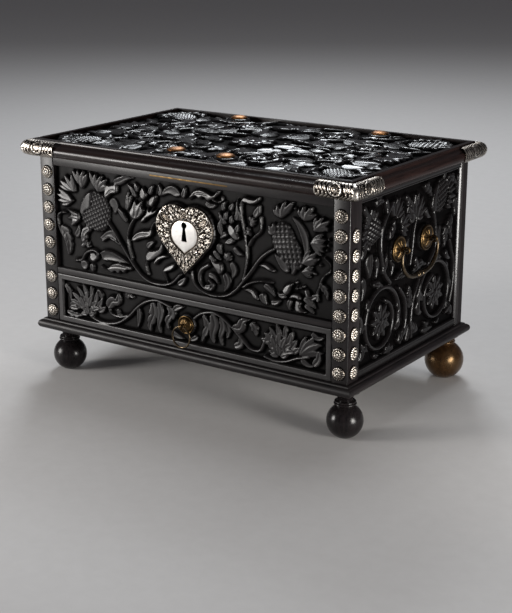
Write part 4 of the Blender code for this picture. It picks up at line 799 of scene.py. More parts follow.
def carve_front(r):
    # Left seed head: a lattice of beads behind a smooth cuff, with tufts of finger petals round it
    r.pod((-125, 198), 80, 44, 42, 4.6, pitch=4.3, lattice=28.0, taper=0.05, cut=1.5)
    r.shape([(-128.5, 219), (-130, 208), (-131.5, 201), (-138, 197.5), (-142, 192), (-146, 194),
             (-145, 202), (-140, 210), (-134, 217)], 5.2, lean=(0.12, 0.0))
    r.tuft((-152, 216), [(-176, 221), (-174.5, 227), (-167, 234), (-157.5, 236)], 2.9, 5.2)
    r.tuft((-142, 221), [(-155.5, 241), (-148, 242), (-140, 242), (-134, 239)], 2.9, 5.2)
    r.tuft((-120, 220), [(-131, 241.5), (-123, 241), (-114, 239.5), (-107, 236), (-103.5, 229)], 3.0, 5.2)
    r.tuft((-155, 206), [(-178, 217), (-180, 211), (-179, 204), (-174, 198.5)], 2.8, 5.0)
    r.shape([(-148, 193), (-156, 194), (-167, 195), (-160, 190), (-166, 185), (-158, 184), (-159, 177),
             (-152, 181), (-147, 186)], 4.8, lean=(0.18, -0.10))
    r.groove([(-149, 189), (-157, 189.5), (-165, 193)], 0.7, 0.7)
    r.groove([(-150, 186), (-156, 186), (-163, 186)], 0.7, 0.7)
    r.shape([(-109, 226), (-101, 230), (-93, 231), (-92.5, 223), (-99, 221), (-104, 218), (-108, 214),
             (-110, 219)], 5.2, lean=(0.09, -0.19))
    r.groove([(-106, 219), (-101, 224), (-95, 225)], 0.8, 0.8)
    r.leaf([(-97, 233), (-88, 236), (-80, 240), (-70, 241.5)], 4.5, 4.8, tilt=0.3)
    r.leaf([(-103, 214), (-97, 207), (-98, 198)], 5.8, 2.6, hollow=0.3, groove=0.0)
    # Curl at the far left, and what hangs below the seed head
    r.stem([(-168, 191), (-174, 190.5), (-179, 186), (-179, 177), (-175, 168), (-169, 159), (-165, 144)],
           1.3, 1.5, 4.6)
    r.leaf([(-176, 175), (-168, 167), (-164, 156), (-163, 144)], 5.8, 3.8, lobes=4, tilt=-0.2)
    r.shape([(-145, 171), (-143, 177), (-135, 180), (-132.5, 175), (-137, 171), (-138.5, 164), (-143, 161),
             (-145.5, 166)], 5.0, lean=(0.03, -0.16))
    r.groove([(-135, 176), (-141, 172), (-141, 164)], 0.8, 0.7)
    r.fan((-140, 156), 10, 170, 5, 1, 9, 2.0, 4.4)
    r.leaf([(-155, 165), (-150, 172), (-149, 180)], 4.0, 3.4)
    r.stem([(-156, 138), (-146, 140.5), (-140, 148.5), (-130, 153.5), (-123, 151.5), (-124, 145)], 1.4, 1.6,
           4.8)
    r.shape([(-134, 150), (-127, 151), (-124, 146), (-127, 141), (-133, 143)], 4.4, lean=(-0.06, -0.19))
    r.leaf([(-131, 138), (-131.5, 133), (-130, 128)], 3.2, 4.6)
    r.shape([(-148, 138), (-141, 140), (-137, 135), (-141, 129), (-147, 131)], 3.8, dish=0.6)
    # Main stem to the seed head, and the leaves left of it
    r.stem([(-106, 188), (-98, 179), (-92, 171), (-84, 161), (-77, 152), (-70, 144), (-60, 135),
            (-49, 130.2), (-38, 129.4), (-28, 130.5), (-18, 135), (-8, 145)], 1.4, 1.5, 5.0)
    r.shape([(-119, 169), (-115, 173), (-108, 178), (-101, 180), (-97, 175), (-93, 167), (-99, 169),
             (-106, 171), (-113, 166)], 3.6, dish=0.8)
    r.stem([(-115, 166), (-107, 171), (-99, 169.5), (-91, 166)], 0.9, 1.1, 4.8)
    r.shape([(-119, 151), (-112, 155), (-101, 155), (-88, 151), (-77, 146), (-88, 145), (-104, 145),
             (-115, 144)], 3.4, dish=0.8)
    r.stem([(-119, 151.5), (-111, 155.5), (-101, 155), (-89, 151), (-78, 146)], 0.8, 1.0, 4.8)
    r.shape([(-119, 139), (-115, 135), (-108, 137), (-101, 142), (-92, 144.5), (-82, 143), (-74, 142.5),
             (-75, 139), (-82, 138), (-86, 134), (-90, 136), (-93.5, 132), (-98, 134.5), (-103, 132),
             (-108, 134.5)], 5.0, lean=(-0.03, 0.10))
    r.groove([(-108, 137), (-96, 140), (-78, 140.5)], 0.8, 0.7)
    # Flower stalk, and the carnation on it
    r.stem([(-69, 197), (-74, 191), (-78.5, 180), (-78.5, 166), (-74, 153)], 1.3, 1.4, 4.8)
    r.leaf([(-93, 206), (-87, 200), (-79, 191)], 3.8, 4.4, tilt=0.3, blunt=0.9)
    r.leaf([(-79, 205), (-78, 217), (-76.5, 228)], 2.9, 4.8)
    r.leaf([(-79, 206), (-75, 217), (-71, 224)], 2.8, 4.6)
    r.shape([(-76, 204), (-72, 211), (-68.5, 218), (-65, 213.5), (-58, 219), (-58.5, 212), (-55, 208),
             (-60, 201), (-67, 197), (-73, 199)], 5.2, lean=(0.12, -0.16))
    r.groove([(-68, 199), (-68, 207), (-68, 215)], 0.8, 0.7)
    r.groove([(-64, 200), (-61, 208), (-59, 215)], 0.8, 0.7)
    r.shape([(-57, 234), (-53, 229), (-51, 225), (-55, 220), (-60, 222), (-61, 228)], 5.0,
            lean=(0.18, -0.13))
    r.shape([(-39, 227), (-40, 220), (-44, 214), (-49, 216), (-47, 223)], 5.0, lean=(0.18, -0.16))
    r.shape([(-61, 194), (-58, 200), (-53, 205), (-51, 212), (-48, 208), (-43, 213.5), (-43.5, 208.5),
             (-36, 213), (-40, 207), (-47, 203), (-52, 200), (-56, 196)], 4.8, lean=(0.09, -0.16))
    r.leaf([(-64, 227), (-66, 233), (-69, 237)], 2.8, 4.6)
    r.leaf([(-48, 226), (-46, 232), (-42, 237)], 2.8, 4.6)
    r.leaf([(-66, 221), (-72, 229), (-79, 234)], 3.0, 4.2)
    r.leaf([(-52, 216), (-46, 219), (-42, 226)], 2.5, 4.2)
    r.leaf([(-35, 226), (-33, 233), (-37, 240)], 2.2, 4.4)
    # Leaves between the flower and the heart
    r.shape([(-73.5, 172), (-70, 179), (-62, 184.5), (-51, 186.5), (-45, 188.5), (-45.5, 182.5), (-51, 179),
             (-61, 176), (-68, 173)], 5.0, lean=(0.03, -0.16))
    r.groove([(-70, 175), (-62, 180.5), (-50, 182.5)], 0.9, 0.7)
    r.groove([(-67, 174), (-60, 177.5), (-51, 180)], 0.7, 0.6)
    r.stem([(-47, 186), (-45, 192), (-41, 197), (-36.5, 197)], 1.3, 1.1, 4.6)
    r.leaf([(-53, 167), (-49, 172), (-42, 176)], 3.2, 4.2)
    r.shape([(-55, 159), (-51, 164), (-43, 166), (-36, 169), (-32, 176), (-29.5, 172), (-32, 165),
             (-38, 160), (-46, 155), (-53, 153.5)], 5.2, lean=(0.15, -0.16))
    r.shape([(-44, 152), (-39, 159), (-31, 163), (-23, 162), (-31, 159), (-37, 155.5), (-41, 151)], 4.6,
            lean=(0.03, -0.26))
    r.stem([(-53, 154), (-55, 146), (-52, 138)], 1.1, 1.2, 4.4)
    r.shape([(-32, 143.5), (-29, 149), (-23, 153), (-15, 155.5), (-17, 150), (-24, 146)], 4.8,
            lean=(0.12, -0.26))
    r.stem([(-31, 143), (-28, 138), (-25, 133)], 0.9, 1.0, 4.0)
    r.leaf([(-12, 133), (-6, 137), (-1, 143)], 3.5, 4.6)
    # Above the heart: a dished petal at the left, an acanthus leaf at the right
    r.shape([(-33, 226), (-29, 234), (-21, 239), (-12, 238), (-6, 231), (-13, 228), (-22, 230)], 3.4,
            dish=0.7)
    r.leaf([(-4, 228), (-2, 234), (-1, 241)], 3.2, 4.4)
    r.shape([(4.5, 226), (6.5, 232), (12, 238), (20, 240), (28, 238), (36, 236), (40, 240), (43.5, 241.8),
             (41, 236), (35, 232), (29, 229.5), (26, 232), (21.5, 232.5), (19, 230), (14, 232.5), (9, 231)],
            5.2, lean=(0.03, -0.19))
    r.groove([(8, 232), (18, 236), (32, 235)], 0.7, 0.8)
    r.stem([(35, 231), (42, 229.5), (47, 232), (46, 236)], 1.4, 1.0, 4.4)
    r.leaf([(25, 227), (32, 224), (40, 226)], 3.2, 3.6)
    # Carnation right of the heart, and its stalk
    r.stem([(73, 152), (76, 164), (77.5, 178), (76, 195), (73.5, 207), (71, 217), (70, 229), (72, 235)],
           1.5, 1.3, 5.0)
    r.shape([(53, 204.5), (56, 208.5), (61, 206.5), (64.5, 202), (68.5, 195.5), (64.5, 193), (58.5, 196),
             (54.5, 199.5)], 5.2, lean=(0.15, -0.13))
    r.leaf([(46, 196), (43.5, 204), (44.5, 212)], 3.2, 4.6)
    r.leaf([(64.5, 201), (66, 206), (67.5, 211)], 3.0, 4.8)
    r.leaf([(52, 212), (51, 217), (53, 221)], 3.0, 4.4)
    r.leaf([(56, 223), (58.5, 227), (61, 231.5)], 3.0, 4.4)
    r.leaf([(50, 207), (45, 214), (42, 220)], 2.8, 4.2)
    r.leaf([(58, 209), (58, 214), (60, 219)], 2.8, 4.6)
    r.leaf([(64, 213), (65, 219), (64, 225)], 2.8, 4.4)
    r.leaf([(53, 198), (48, 196), (44, 191)], 3.0, 4.2)
    r.leaf([(61, 193), (55, 190), (49, 187)], 3.2, 4.4, tilt=0.2)
    r.leaf([(69, 213), (65, 228), (66, 236)], 2.5, 4.2)
    r.leaf([(47, 221), (48, 227), (52, 232)], 2.5, 4.2)
    r.shape([(70.5, 234), (74.5, 239), (81, 238.5), (88, 238.5), (92, 241.8), (93, 239), (90, 235),
             (83, 232.5), (76.5, 233.5)], 5.0, lean=(0.03, -0.19))
    r.stem([(79.5, 189), (84, 197), (92, 204), (95, 210), (94, 221)], 1.1, 1.2, 4.6)
    r.shape([(88, 218), (93, 224), (93, 233), (88, 229), (84.5, 223)], 4.0, dish=0.5)
    r.fan((80, 214), -40, 70, 5, 1, 9, 1.9, 4.2)
    r.fan((82, 205), 150, 260, 4, 1, 8, 1.8, 3.8)
    # Main stem on the right, the scroll below the heart, and their leaves
    r.stem([(7, 151), (9, 141), (17, 133), (29, 129.4), (41, 129.4), (52, 132), (62, 138.5), (71.5, 149),
            (81, 161), (93, 177), (102, 185), (110, 190)], 1.4, 1.5, 5.0)
    r.stem([(72, 144), (81, 150), (93, 154), (108, 155)], 1.3, 1.0, 4.6)
    r.stem([(29, 161), (19, 154), (16.5, 144), (22, 136), (31, 134.5), (34, 140), (29, 145)], 2.4, 1.4, 4.4)
    r.leaf([(24, 138), (28, 137), (32, 141)], 3.0, 5.0)
    r.shape([(31.5, 166.5), (39, 165.5), (45, 165), (46.5, 158), (43.5, 153.5), (38.5, 158.5)], 5.2,
            lean=(-0.03, -0.16))
    r.leaf([(50, 156), (53.5, 146), (49, 135)], 4.0, 4.6, tilt=-0.25)
    r.leaf([(28, 151), (36, 149), (41, 142)], 3.2, 4.0)
    r.blossom((53, 173.5), 5.6, 6, 4.8, 15)
    r.leaf([(36, 178), (40, 172), (44, 168)], 3.0, 4.4)
    r.leaf([(29, 171), (34, 168), (38, 163)], 2.8, 4.0)
    r.leaf([(43, 186), (42, 180), (46, 174)], 2.8, 4.2)
    r.leaf([(57, 168), (61, 160), (58, 150)], 4.2, 3.2, hollow=0.25, groove=0.0)
    r.leaf([(61, 185), (66, 180), (74, 178)], 3.0, 4.0)
    r.shape([(90.5, 170), (99, 173.5), (106, 171.5), (111.5, 167), (105, 167.5), (98, 169.5)], 4.8,
            lean=(0.03, -0.26))
    r.shape([(110, 186), (117, 183.5), (125, 178), (129.5, 170), (123, 168.5), (116, 175)], 3.8, dish=0.6)
    r.leaf([(132.5, 181), (134.5, 174.5), (132, 166)], 3.0, 4.6)
    r.shape([(72, 141), (79, 144), (86, 143.5), (91, 138.5), (92.5, 134), (87, 135.5), (83, 139.5)], 4.8,
            lean=(0.03, -0.22))
    r.groove([(75, 141), (83, 141.5), (90, 137)], 0.8, 0.7)
    r.leaf([(96, 142), (97, 136), (102, 130.5)], 3.8, 4.6)
    r.leaf([(107, 134), (113, 134.5), (119, 138)], 3.2, 4.4)
    r.leaf([(98, 151), (106, 147), (112, 140)], 4.0, 3.6, tilt=0.2)
    # Right seed head: bold lattice, bent to the right, with tufts of finger petals round it
    r.pod((121, 202), 104, 34, 26, 4.6, pitch=5.2, lattice=12.0, cut=1.7)
    r.pod((127, 192), 128, 46, 28, 4.8, pitch=5.2, lattice=12.0, taper=-0.10, cut=1.7)
    r.shape([(147, 186), (152, 196), (150, 210), (141, 222), (131, 226), (137, 217), (142, 206),
             (145, 196)], 3.0, dish=0.6)
    r.tuft((112, 206), [(102.5, 208), (104, 214), (109, 217.5)], 2.8, 4.8)
    r.tuft((119, 223), [(109, 232), (114, 237), (123.5, 241), (132.5, 241.5)], 2.9, 5.2)
    r.tuft((146, 224), [(138.5, 236), (145.5, 239.5), (155, 239), (159.5, 232.5)], 2.9, 5.2)
    r.tuft((157, 215), [(160.5, 230.5), (168, 231), (176.5, 228.5), (175, 221)], 2.8, 5.2)
    r.tuft((153, 203), [(168, 214), (171.5, 208.5), (171.5, 202), (170, 196), (166, 191)], 2.8, 5.0)
    r.tuft((144, 180), [(153, 196), (161, 194), (163.5, 188), (159, 182.5)], 2.8, 5.2)
    r.tuft((143, 172), [(156, 178.5), (158, 173.5), (154, 167.5)], 2.5, 4.8)
    for bead in ((172.5, 218), (174.5, 209), (174, 203), (172.5, 198), (165, 182), (159, 172), (135, 235)):
        r.bud(bead, 1.6, 4.0)
    r.stem([(170, 190), (177, 185), (177.5, 178), (171, 172.5), (166.5, 166), (164.5, 159), (162, 153),
            (162.5, 144)], 1.1, 1.1, 4.4)
    r.leaf([(165, 162), (172, 156), (174, 147)], 3.8, 3.6, lobes=3)
    r.leaf([(163, 150), (156, 146), (153, 139)], 3.2, 3.6)
    # Flower at the bottom right
    r.shape([(121, 149), (125, 155), (132.5, 158), (130.5, 153), (127.5, 146), (123.5, 146)], 5.0,
            lean=(0.12, -0.16))
    r.shape([(129.5, 142), (132, 146.5), (138, 148.5), (142, 147), (143, 142.5), (136, 143.5)], 5.2,
            lean=(0.03, -0.26))
    r.shape([(136.5, 141), (140.5, 141.5), (143.5, 139), (142, 135.5), (145, 132.5), (148.5, 130.2),
             (142, 129.4), (137, 131), (136, 135.5)], 5.0, lean=(0.12, -0.13))
    r.shape([(147, 154), (150.5, 155), (153, 150), (156, 147.5), (151, 146.5), (148, 150.5)], 5.0,
            lean=(0.03, -0.19))
    r.leaf([(131, 141), (129, 135), (130, 129)], 3.2, 4.6)
    r.leaf([(125, 144), (119, 143), (114, 146)], 3.0, 4.2)
    r.leaf([(146, 145), (153, 142), (160, 136)], 3.5, 4.2)
    r.leaf([(147, 138), (153, 135), (158, 130)], 3.0, 3.8)
    for bead in ((138, 154), (142, 155), (145.5, 157), (137, 160)):
        r.bud(bead, 1.7, 4.4)
    # Plain pad for the heart, pierced by the keyhole
    pad = [(x * 1000.0, HEART_POINT + y * 1000.0) for x, y in heart_outline(*HEART_PAD, 24)]
    r.height[inside_outline(pad, r.u, r.v)] = PAD_RISE
    slot = (np.abs(r.u) < KEY_SLOT_HALF) & (r.v > KEY_SLOT_ENDS[0]) & (r.v < KEY_SLOT_ENDS[1])
    r.height[slot] = -KEY_SLOT_DEPTH


front_ebony = carved_ebony("carved ebony of the front", GRAIN_ALONG, LIT_FRONT_EBONY_DARK, LIT_FRONT_EBONY_LIGHT, deep=0.14,
                           smooth=0.34, dull=0.50, shine=0.68, marks=0.14)
front_panel = carved_board("carved_front", FRONT_FIELD, FRONT_PITCH, carve_front,
                           lambda u, v, h: (u, FRONT_GROUND_Y - h, v), 1, FRONT_BACK_Y)
front_panel.data.materials.append(front_ebony)
front_panel.data.materials.append(rail_ebony)
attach(front_panel, "case")
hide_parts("front_panel")


# Heart escutcheon
# A heart of sheet silver, chased from the back with leaf scrolls and three round flowers between raised
# rims. Its plain inner heart is burnished bright and pierced with the keyhole. Small pins hold it on.
OUTER_HEART = (0.025, 0.0125, 0.0495)
INNER_HEART = (0.0150, 0.0028, 0.0208)
INNER_HEART_RISE = 0.0222
BORDER_WIDE = 12.0
BORDER_CELLS = 28
HEART_AROUND = 560
HEART_BORDER_ROWS = 36
HEART_FACE_ROWS = 10
HEART_GROUND_Y = -0.1258
HEART_TOP = 0.00135
HEART_FACE_SWELL = 0.0006
HEART_FACE_CENTRE = (0.0, 0.0455)
HEART_BACK_Y = -0.1248
KEYHOLE_HEAD = (0.0, 0.0532)
KEYHOLE_RADIUS = 0.0036
KEYHOLE_NECK = 0.0017
KEYHOLE_FOOT = (0.0036, 0.0357)
SILVER_BURNISHED = (0.610, 0.598, 0.580, 1.0)


def even_outline(outline, count):
    """The same closed outline with points at an even pace."""
    loop = np.array(outline + outline[:1])
    length = np.concatenate([[0.0], np.cumsum(np.hypot(*np.diff(loop, axis=0).T))])
    pace = np.linspace(0.0, length[-1], count, endpoint=False)
    return np.stack([np.interp(pace, length, loop[:, k]) for k in (0, 1)], axis=1), length[-1]


def chase_border(r, long, cells):
    """Small scrolls and sprays of leaves chased along a strip 12 mm wide, with three round flowers."""
    step = long / cells
    for i in range(-1, cells + 1):
        up = 1 if i % 2 else -1
        middle = (i + 0.5) * step
        curl = (middle, 6.0 + 2.3 * up)
        r.scroll(curl, -90 * up, 1.2, 3.0, 0.8, 0.55, 1.0, up)
        r.bud(curl, 0.8, 1.15)
        for angle in (-80, -40, 0, 40, 80):
            turn = math.radians(angle - 90 * up)
            spine = [(middle + far * math.cos(turn), 6.0 - 0.8 * up + far * math.sin(turn))
                     for far in (0.8, 2.6, 4.6)]
            r.leaf(spine, 0.95, 1.0, groove=0.2, blunt=0.9)
        for side in (-1, 1):
            r.bud((middle + side * step * 0.38, 6.0 + 4.3 * up), 0.75, 0.9)
    for share in (0.345, 0.5, 0.655):
        flower = (long * share, 6.0)
        r.flat(flower, 5.2, 0.0)
        r.scroll(flower, 0, 1.0, 4.8, 4.8, 0.5, 1.0)
        r.blossom(flower, 4.1, 8, 1.0)


outer_heart, heart_length = even_outline(heart_outline(*OUTER_HEART, 60), HEART_AROUND)
drop_outline = [(x, INNER_HEART_RISE + y) for x, y in heart_outline(*INNER_HEART, 60)]
inner_heart, _ = even_outline(drop_outline, HEART_AROUND)
heart_rows = HEART_FACE_ROWS + HEART_BORDER_ROWS
bpy.ops.mesh.primitive_grid_add(x_subdivisions=HEART_AROUND, y_subdivisions=heart_rows, size=1.0)
heart = bpy.context.active_object
heart.name = "chased_heart"
net = np.array([corner.co for corner in heart.data.vertices])
around = np.rint((net[:, 0] + 0.5) * HEART_AROUND).astype(int)
row = np.rint((net[:, 1] + 0.5) * heart_rows)
inward = np.clip(row / HEART_FACE_ROWS, 0.0, 1.0)
across = np.clip((row - HEART_FACE_ROWS) / HEART_BORDER_ROWS, 0.0, 1.0)
heart_strip = Relief(around / HEART_AROUND * heart_length * 1000.0, across * BORDER_WIDE)
chase_border(heart_strip, heart_length * 1000.0, BORDER_CELLS)
matted = 0.10 * np.sin(heart_strip.u * 5.3) * np.sin(heart_strip.v * 4.7 + heart_strip.u)
outer_rim = np.clip(1.0 - np.abs(heart_strip.v - 11.3) / 0.6, 0.0, 1.0) ** 0.5 * 0.9
inner_rim = np.clip(1.0 - np.abs(heart_strip.v - 1.0) / 0.5, 0.0, 1.0) ** 0.5 * 0.8
chased = np.maximum(heart_strip.height + matted, np.maximum(outer_rim, inner_rim))
chased = np.clip(chased, 0.0, 1.15) / 1.15
lower = inner_heart[around % HEART_AROUND]
upper = outer_heart[around % HEART_AROUND]
flat = lower + (upper - lower) * across[:, None]
flat = HEART_FACE_CENTRE + (flat - HEART_FACE_CENTRE) * (0.05 + 0.95 * inward)[:, None]
on_face = row < HEART_FACE_ROWS
rise = np.where(on_face, HEART_FACE_SWELL * np.sqrt(1.0 - inward ** 2), HEART_TOP * chased)
places = np.stack([flat[:, 0], HEART_GROUND_Y - rise, HEART_POINT / 1000.0 + flat[:, 1]], axis=1)
heart.data.vertices.foreach_set("co", places.astype(np.float32).ravel())
mark_crest(heart, np.where(on_face, 1.0, 0.20 + 0.80 * chased))
bpy.ops.object.mode_set(mode="EDIT")
bpy.ops.mesh.select_all(action="SELECT")
bpy.ops.mesh.remove_doubles(threshold=0.000005)
bpy.ops.object.mode_set(mode="OBJECT")


def select_rim(piece, test):
    """Select, for edit mode, the open edges whose two ends pass a test of their place."""
    uses = np.zeros(len(piece.data.edges), int)
    for face in piece.data.polygons:
        for key in face.loop_indices:
            uses[piece.data.loops[key].edge_index] += 1
    for corner in piece.data.vertices:
        corner.select = False
    for face in piece.data.polygons:
        face.select = False
    for edge in piece.data.edges:
        ends = [piece.data.vertices[k] for k in edge.vertices]
        edge.select = bool(uses[edge.index] == 1 and all(test(end.co) for end in ends))
        if edge.select:
            for end in ends:
                end.select = True


def near_middle(place):
    """Whether a place is on the small rim left open in the middle of the face."""
    return math.hypot(place.x, place.z - HEART_POINT / 1000.0 - HEART_FACE_CENTRE[1]) < 0.003


select_rim(heart, near_middle)
bpy.ops.object.mode_set(mode="EDIT")
bpy.ops.mesh.select_mode(type="EDGE")
bpy.ops.mesh.edge_face_add()
bpy.ops.object.mode_set(mode="OBJECT")
face_points = len(heart.data.vertices)
select_rim(heart, lambda place: True)
bpy.ops.object.mode_set(mode="EDIT")
bpy.ops.mesh.extrude_region_move(TRANSFORM_OT_translate={"value": (0.0, 0.0, 0.0)})
bpy.ops.object.mode_set(mode="OBJECT")
for corner in heart.data.vertices[face_points:]:
    corner.co.y = HEART_BACK_Y
bpy.ops.object.mode_set(mode="EDIT")
bpy.ops.mesh.edge_face_add()
bpy.ops.mesh.select_all(action="SELECT")
bpy.ops.mesh.normals_make_consistent(inside=False)
bpy.ops.mesh.select_mode(type="VERT")
bpy.ops.object.mode_set(mode="OBJECT")

keyhole = arc(KEYHOLE_HEAD, KEYHOLE_RADIUS, -60, 240, 28)
keyhole += [(-KEYHOLE_NECK, KEYHOLE_HEAD[1] - KEYHOLE_RADIUS), (-KEYHOLE_FOOT[0], KEYHOLE_FOOT[1])]
keyhole += [KEYHOLE_FOOT, (KEYHOLE_NECK, KEYHOLE_HEAD[1] - KEYHOLE_RADIUS)]
bpy.ops.mesh.primitive_circle_add(vertices=len(keyhole), radius=0.01, fill_type="NGON")
piercing = bpy.context.active_object
for corner, (x, rise) in zip(piercing.data.vertices, keyhole):
    corner.co = (x, -0.130, HEART_POINT / 1000.0 + rise)
bpy.ops.object.mode_set(mode="EDIT")
bpy.ops.mesh.select_all(action="SELECT")
bpy.ops.mesh.extrude_region_move(TRANSFORM_OT_translate={"value": (0.0, 0.010, 0.0)})
bpy.ops.mesh.select_all(action="SELECT")
bpy.ops.mesh.normals_make_consistent(inside=False)
bpy.ops.object.mode_set(mode="OBJECT")


def pierce(piece, tool):
    """Cut a tool's shape out of a piece and put the tool away."""
    bpy.ops.object.select_all(action="DESELECT")
    piece.select_set(True)
    bpy.context.view_layer.objects.active = piece
    cut = piece.modifiers.new("piercing", "BOOLEAN")
    cut.operation = "DIFFERENCE"
    cut.solver = "EXACT"
    cut.object = tool
    bpy.ops.object.modifier_apply(modifier=cut.name)
    bpy.data.objects.remove(tool)


pierce(heart, piercing)
worn = heart.data.attributes["crest"].data
for corner in heart.data.vertices:
    if abs(corner.co.x) < 0.0055 and KEYHOLE_FOOT[1] - 0.002 < corner.co.z - HEART_POINT / 1000.0 < 0.0575:
        worn[corner.index].value = 1.0
finished(heart, 60.0)
heart.data.materials.append(silver)
heart.data.materials.append(worked_silver("burnished silver", 0.30, 0.36, SILVER_BURNISHED))
centres = np.array([face.center for face in heart.data.polygons])
face_outline = [(x, HEART_POINT / 1000.0 + y) for x, y in drop_outline]
on_drop = inside_outline(face_outline, centres[:, 0], centres[:, 2])
for face, inner in zip(heart.data.polygons, on_drop):
    face.material_index = int(inner and face.normal.y < -0.5)
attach(heart, "case")
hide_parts("heart_escutcheon")


# Side panels
# Two ebony boards carved like the front: scrolling stems with round flowers below, seed heads above, and a
# plain round pad under each handle rosette. The two sides are alike, one the mirror of the other.
SIDE_PITCH = 0.72
SIDE_FIELD = (-103.5, 111.5, 64.6, 252.8)
SIDE_GROUND_X = 0.1945
SIDE_BACK_X = 0.186
SIDE_BORDER = (73.0, 244.0)
HANDLE_EYES = ((-27.0, 183.0), (33.0, 183.0))
# The carved sides and the lid take darker colours than the same ebony on the front: painted shade
SHADED_EBONY_DARK = (0.0022, 0.0020, 0.0022, 1.0)
SHADED_EBONY_LIGHT = (0.0085, 0.0070, 0.0072, 1.0)
SIDE_DEEPEN = 1.36
EYE_PAD = (14.2, 4.8)
BORDER_RISE = 4.1
BORDER_LINE = (1.6, 2.6, 3.3)


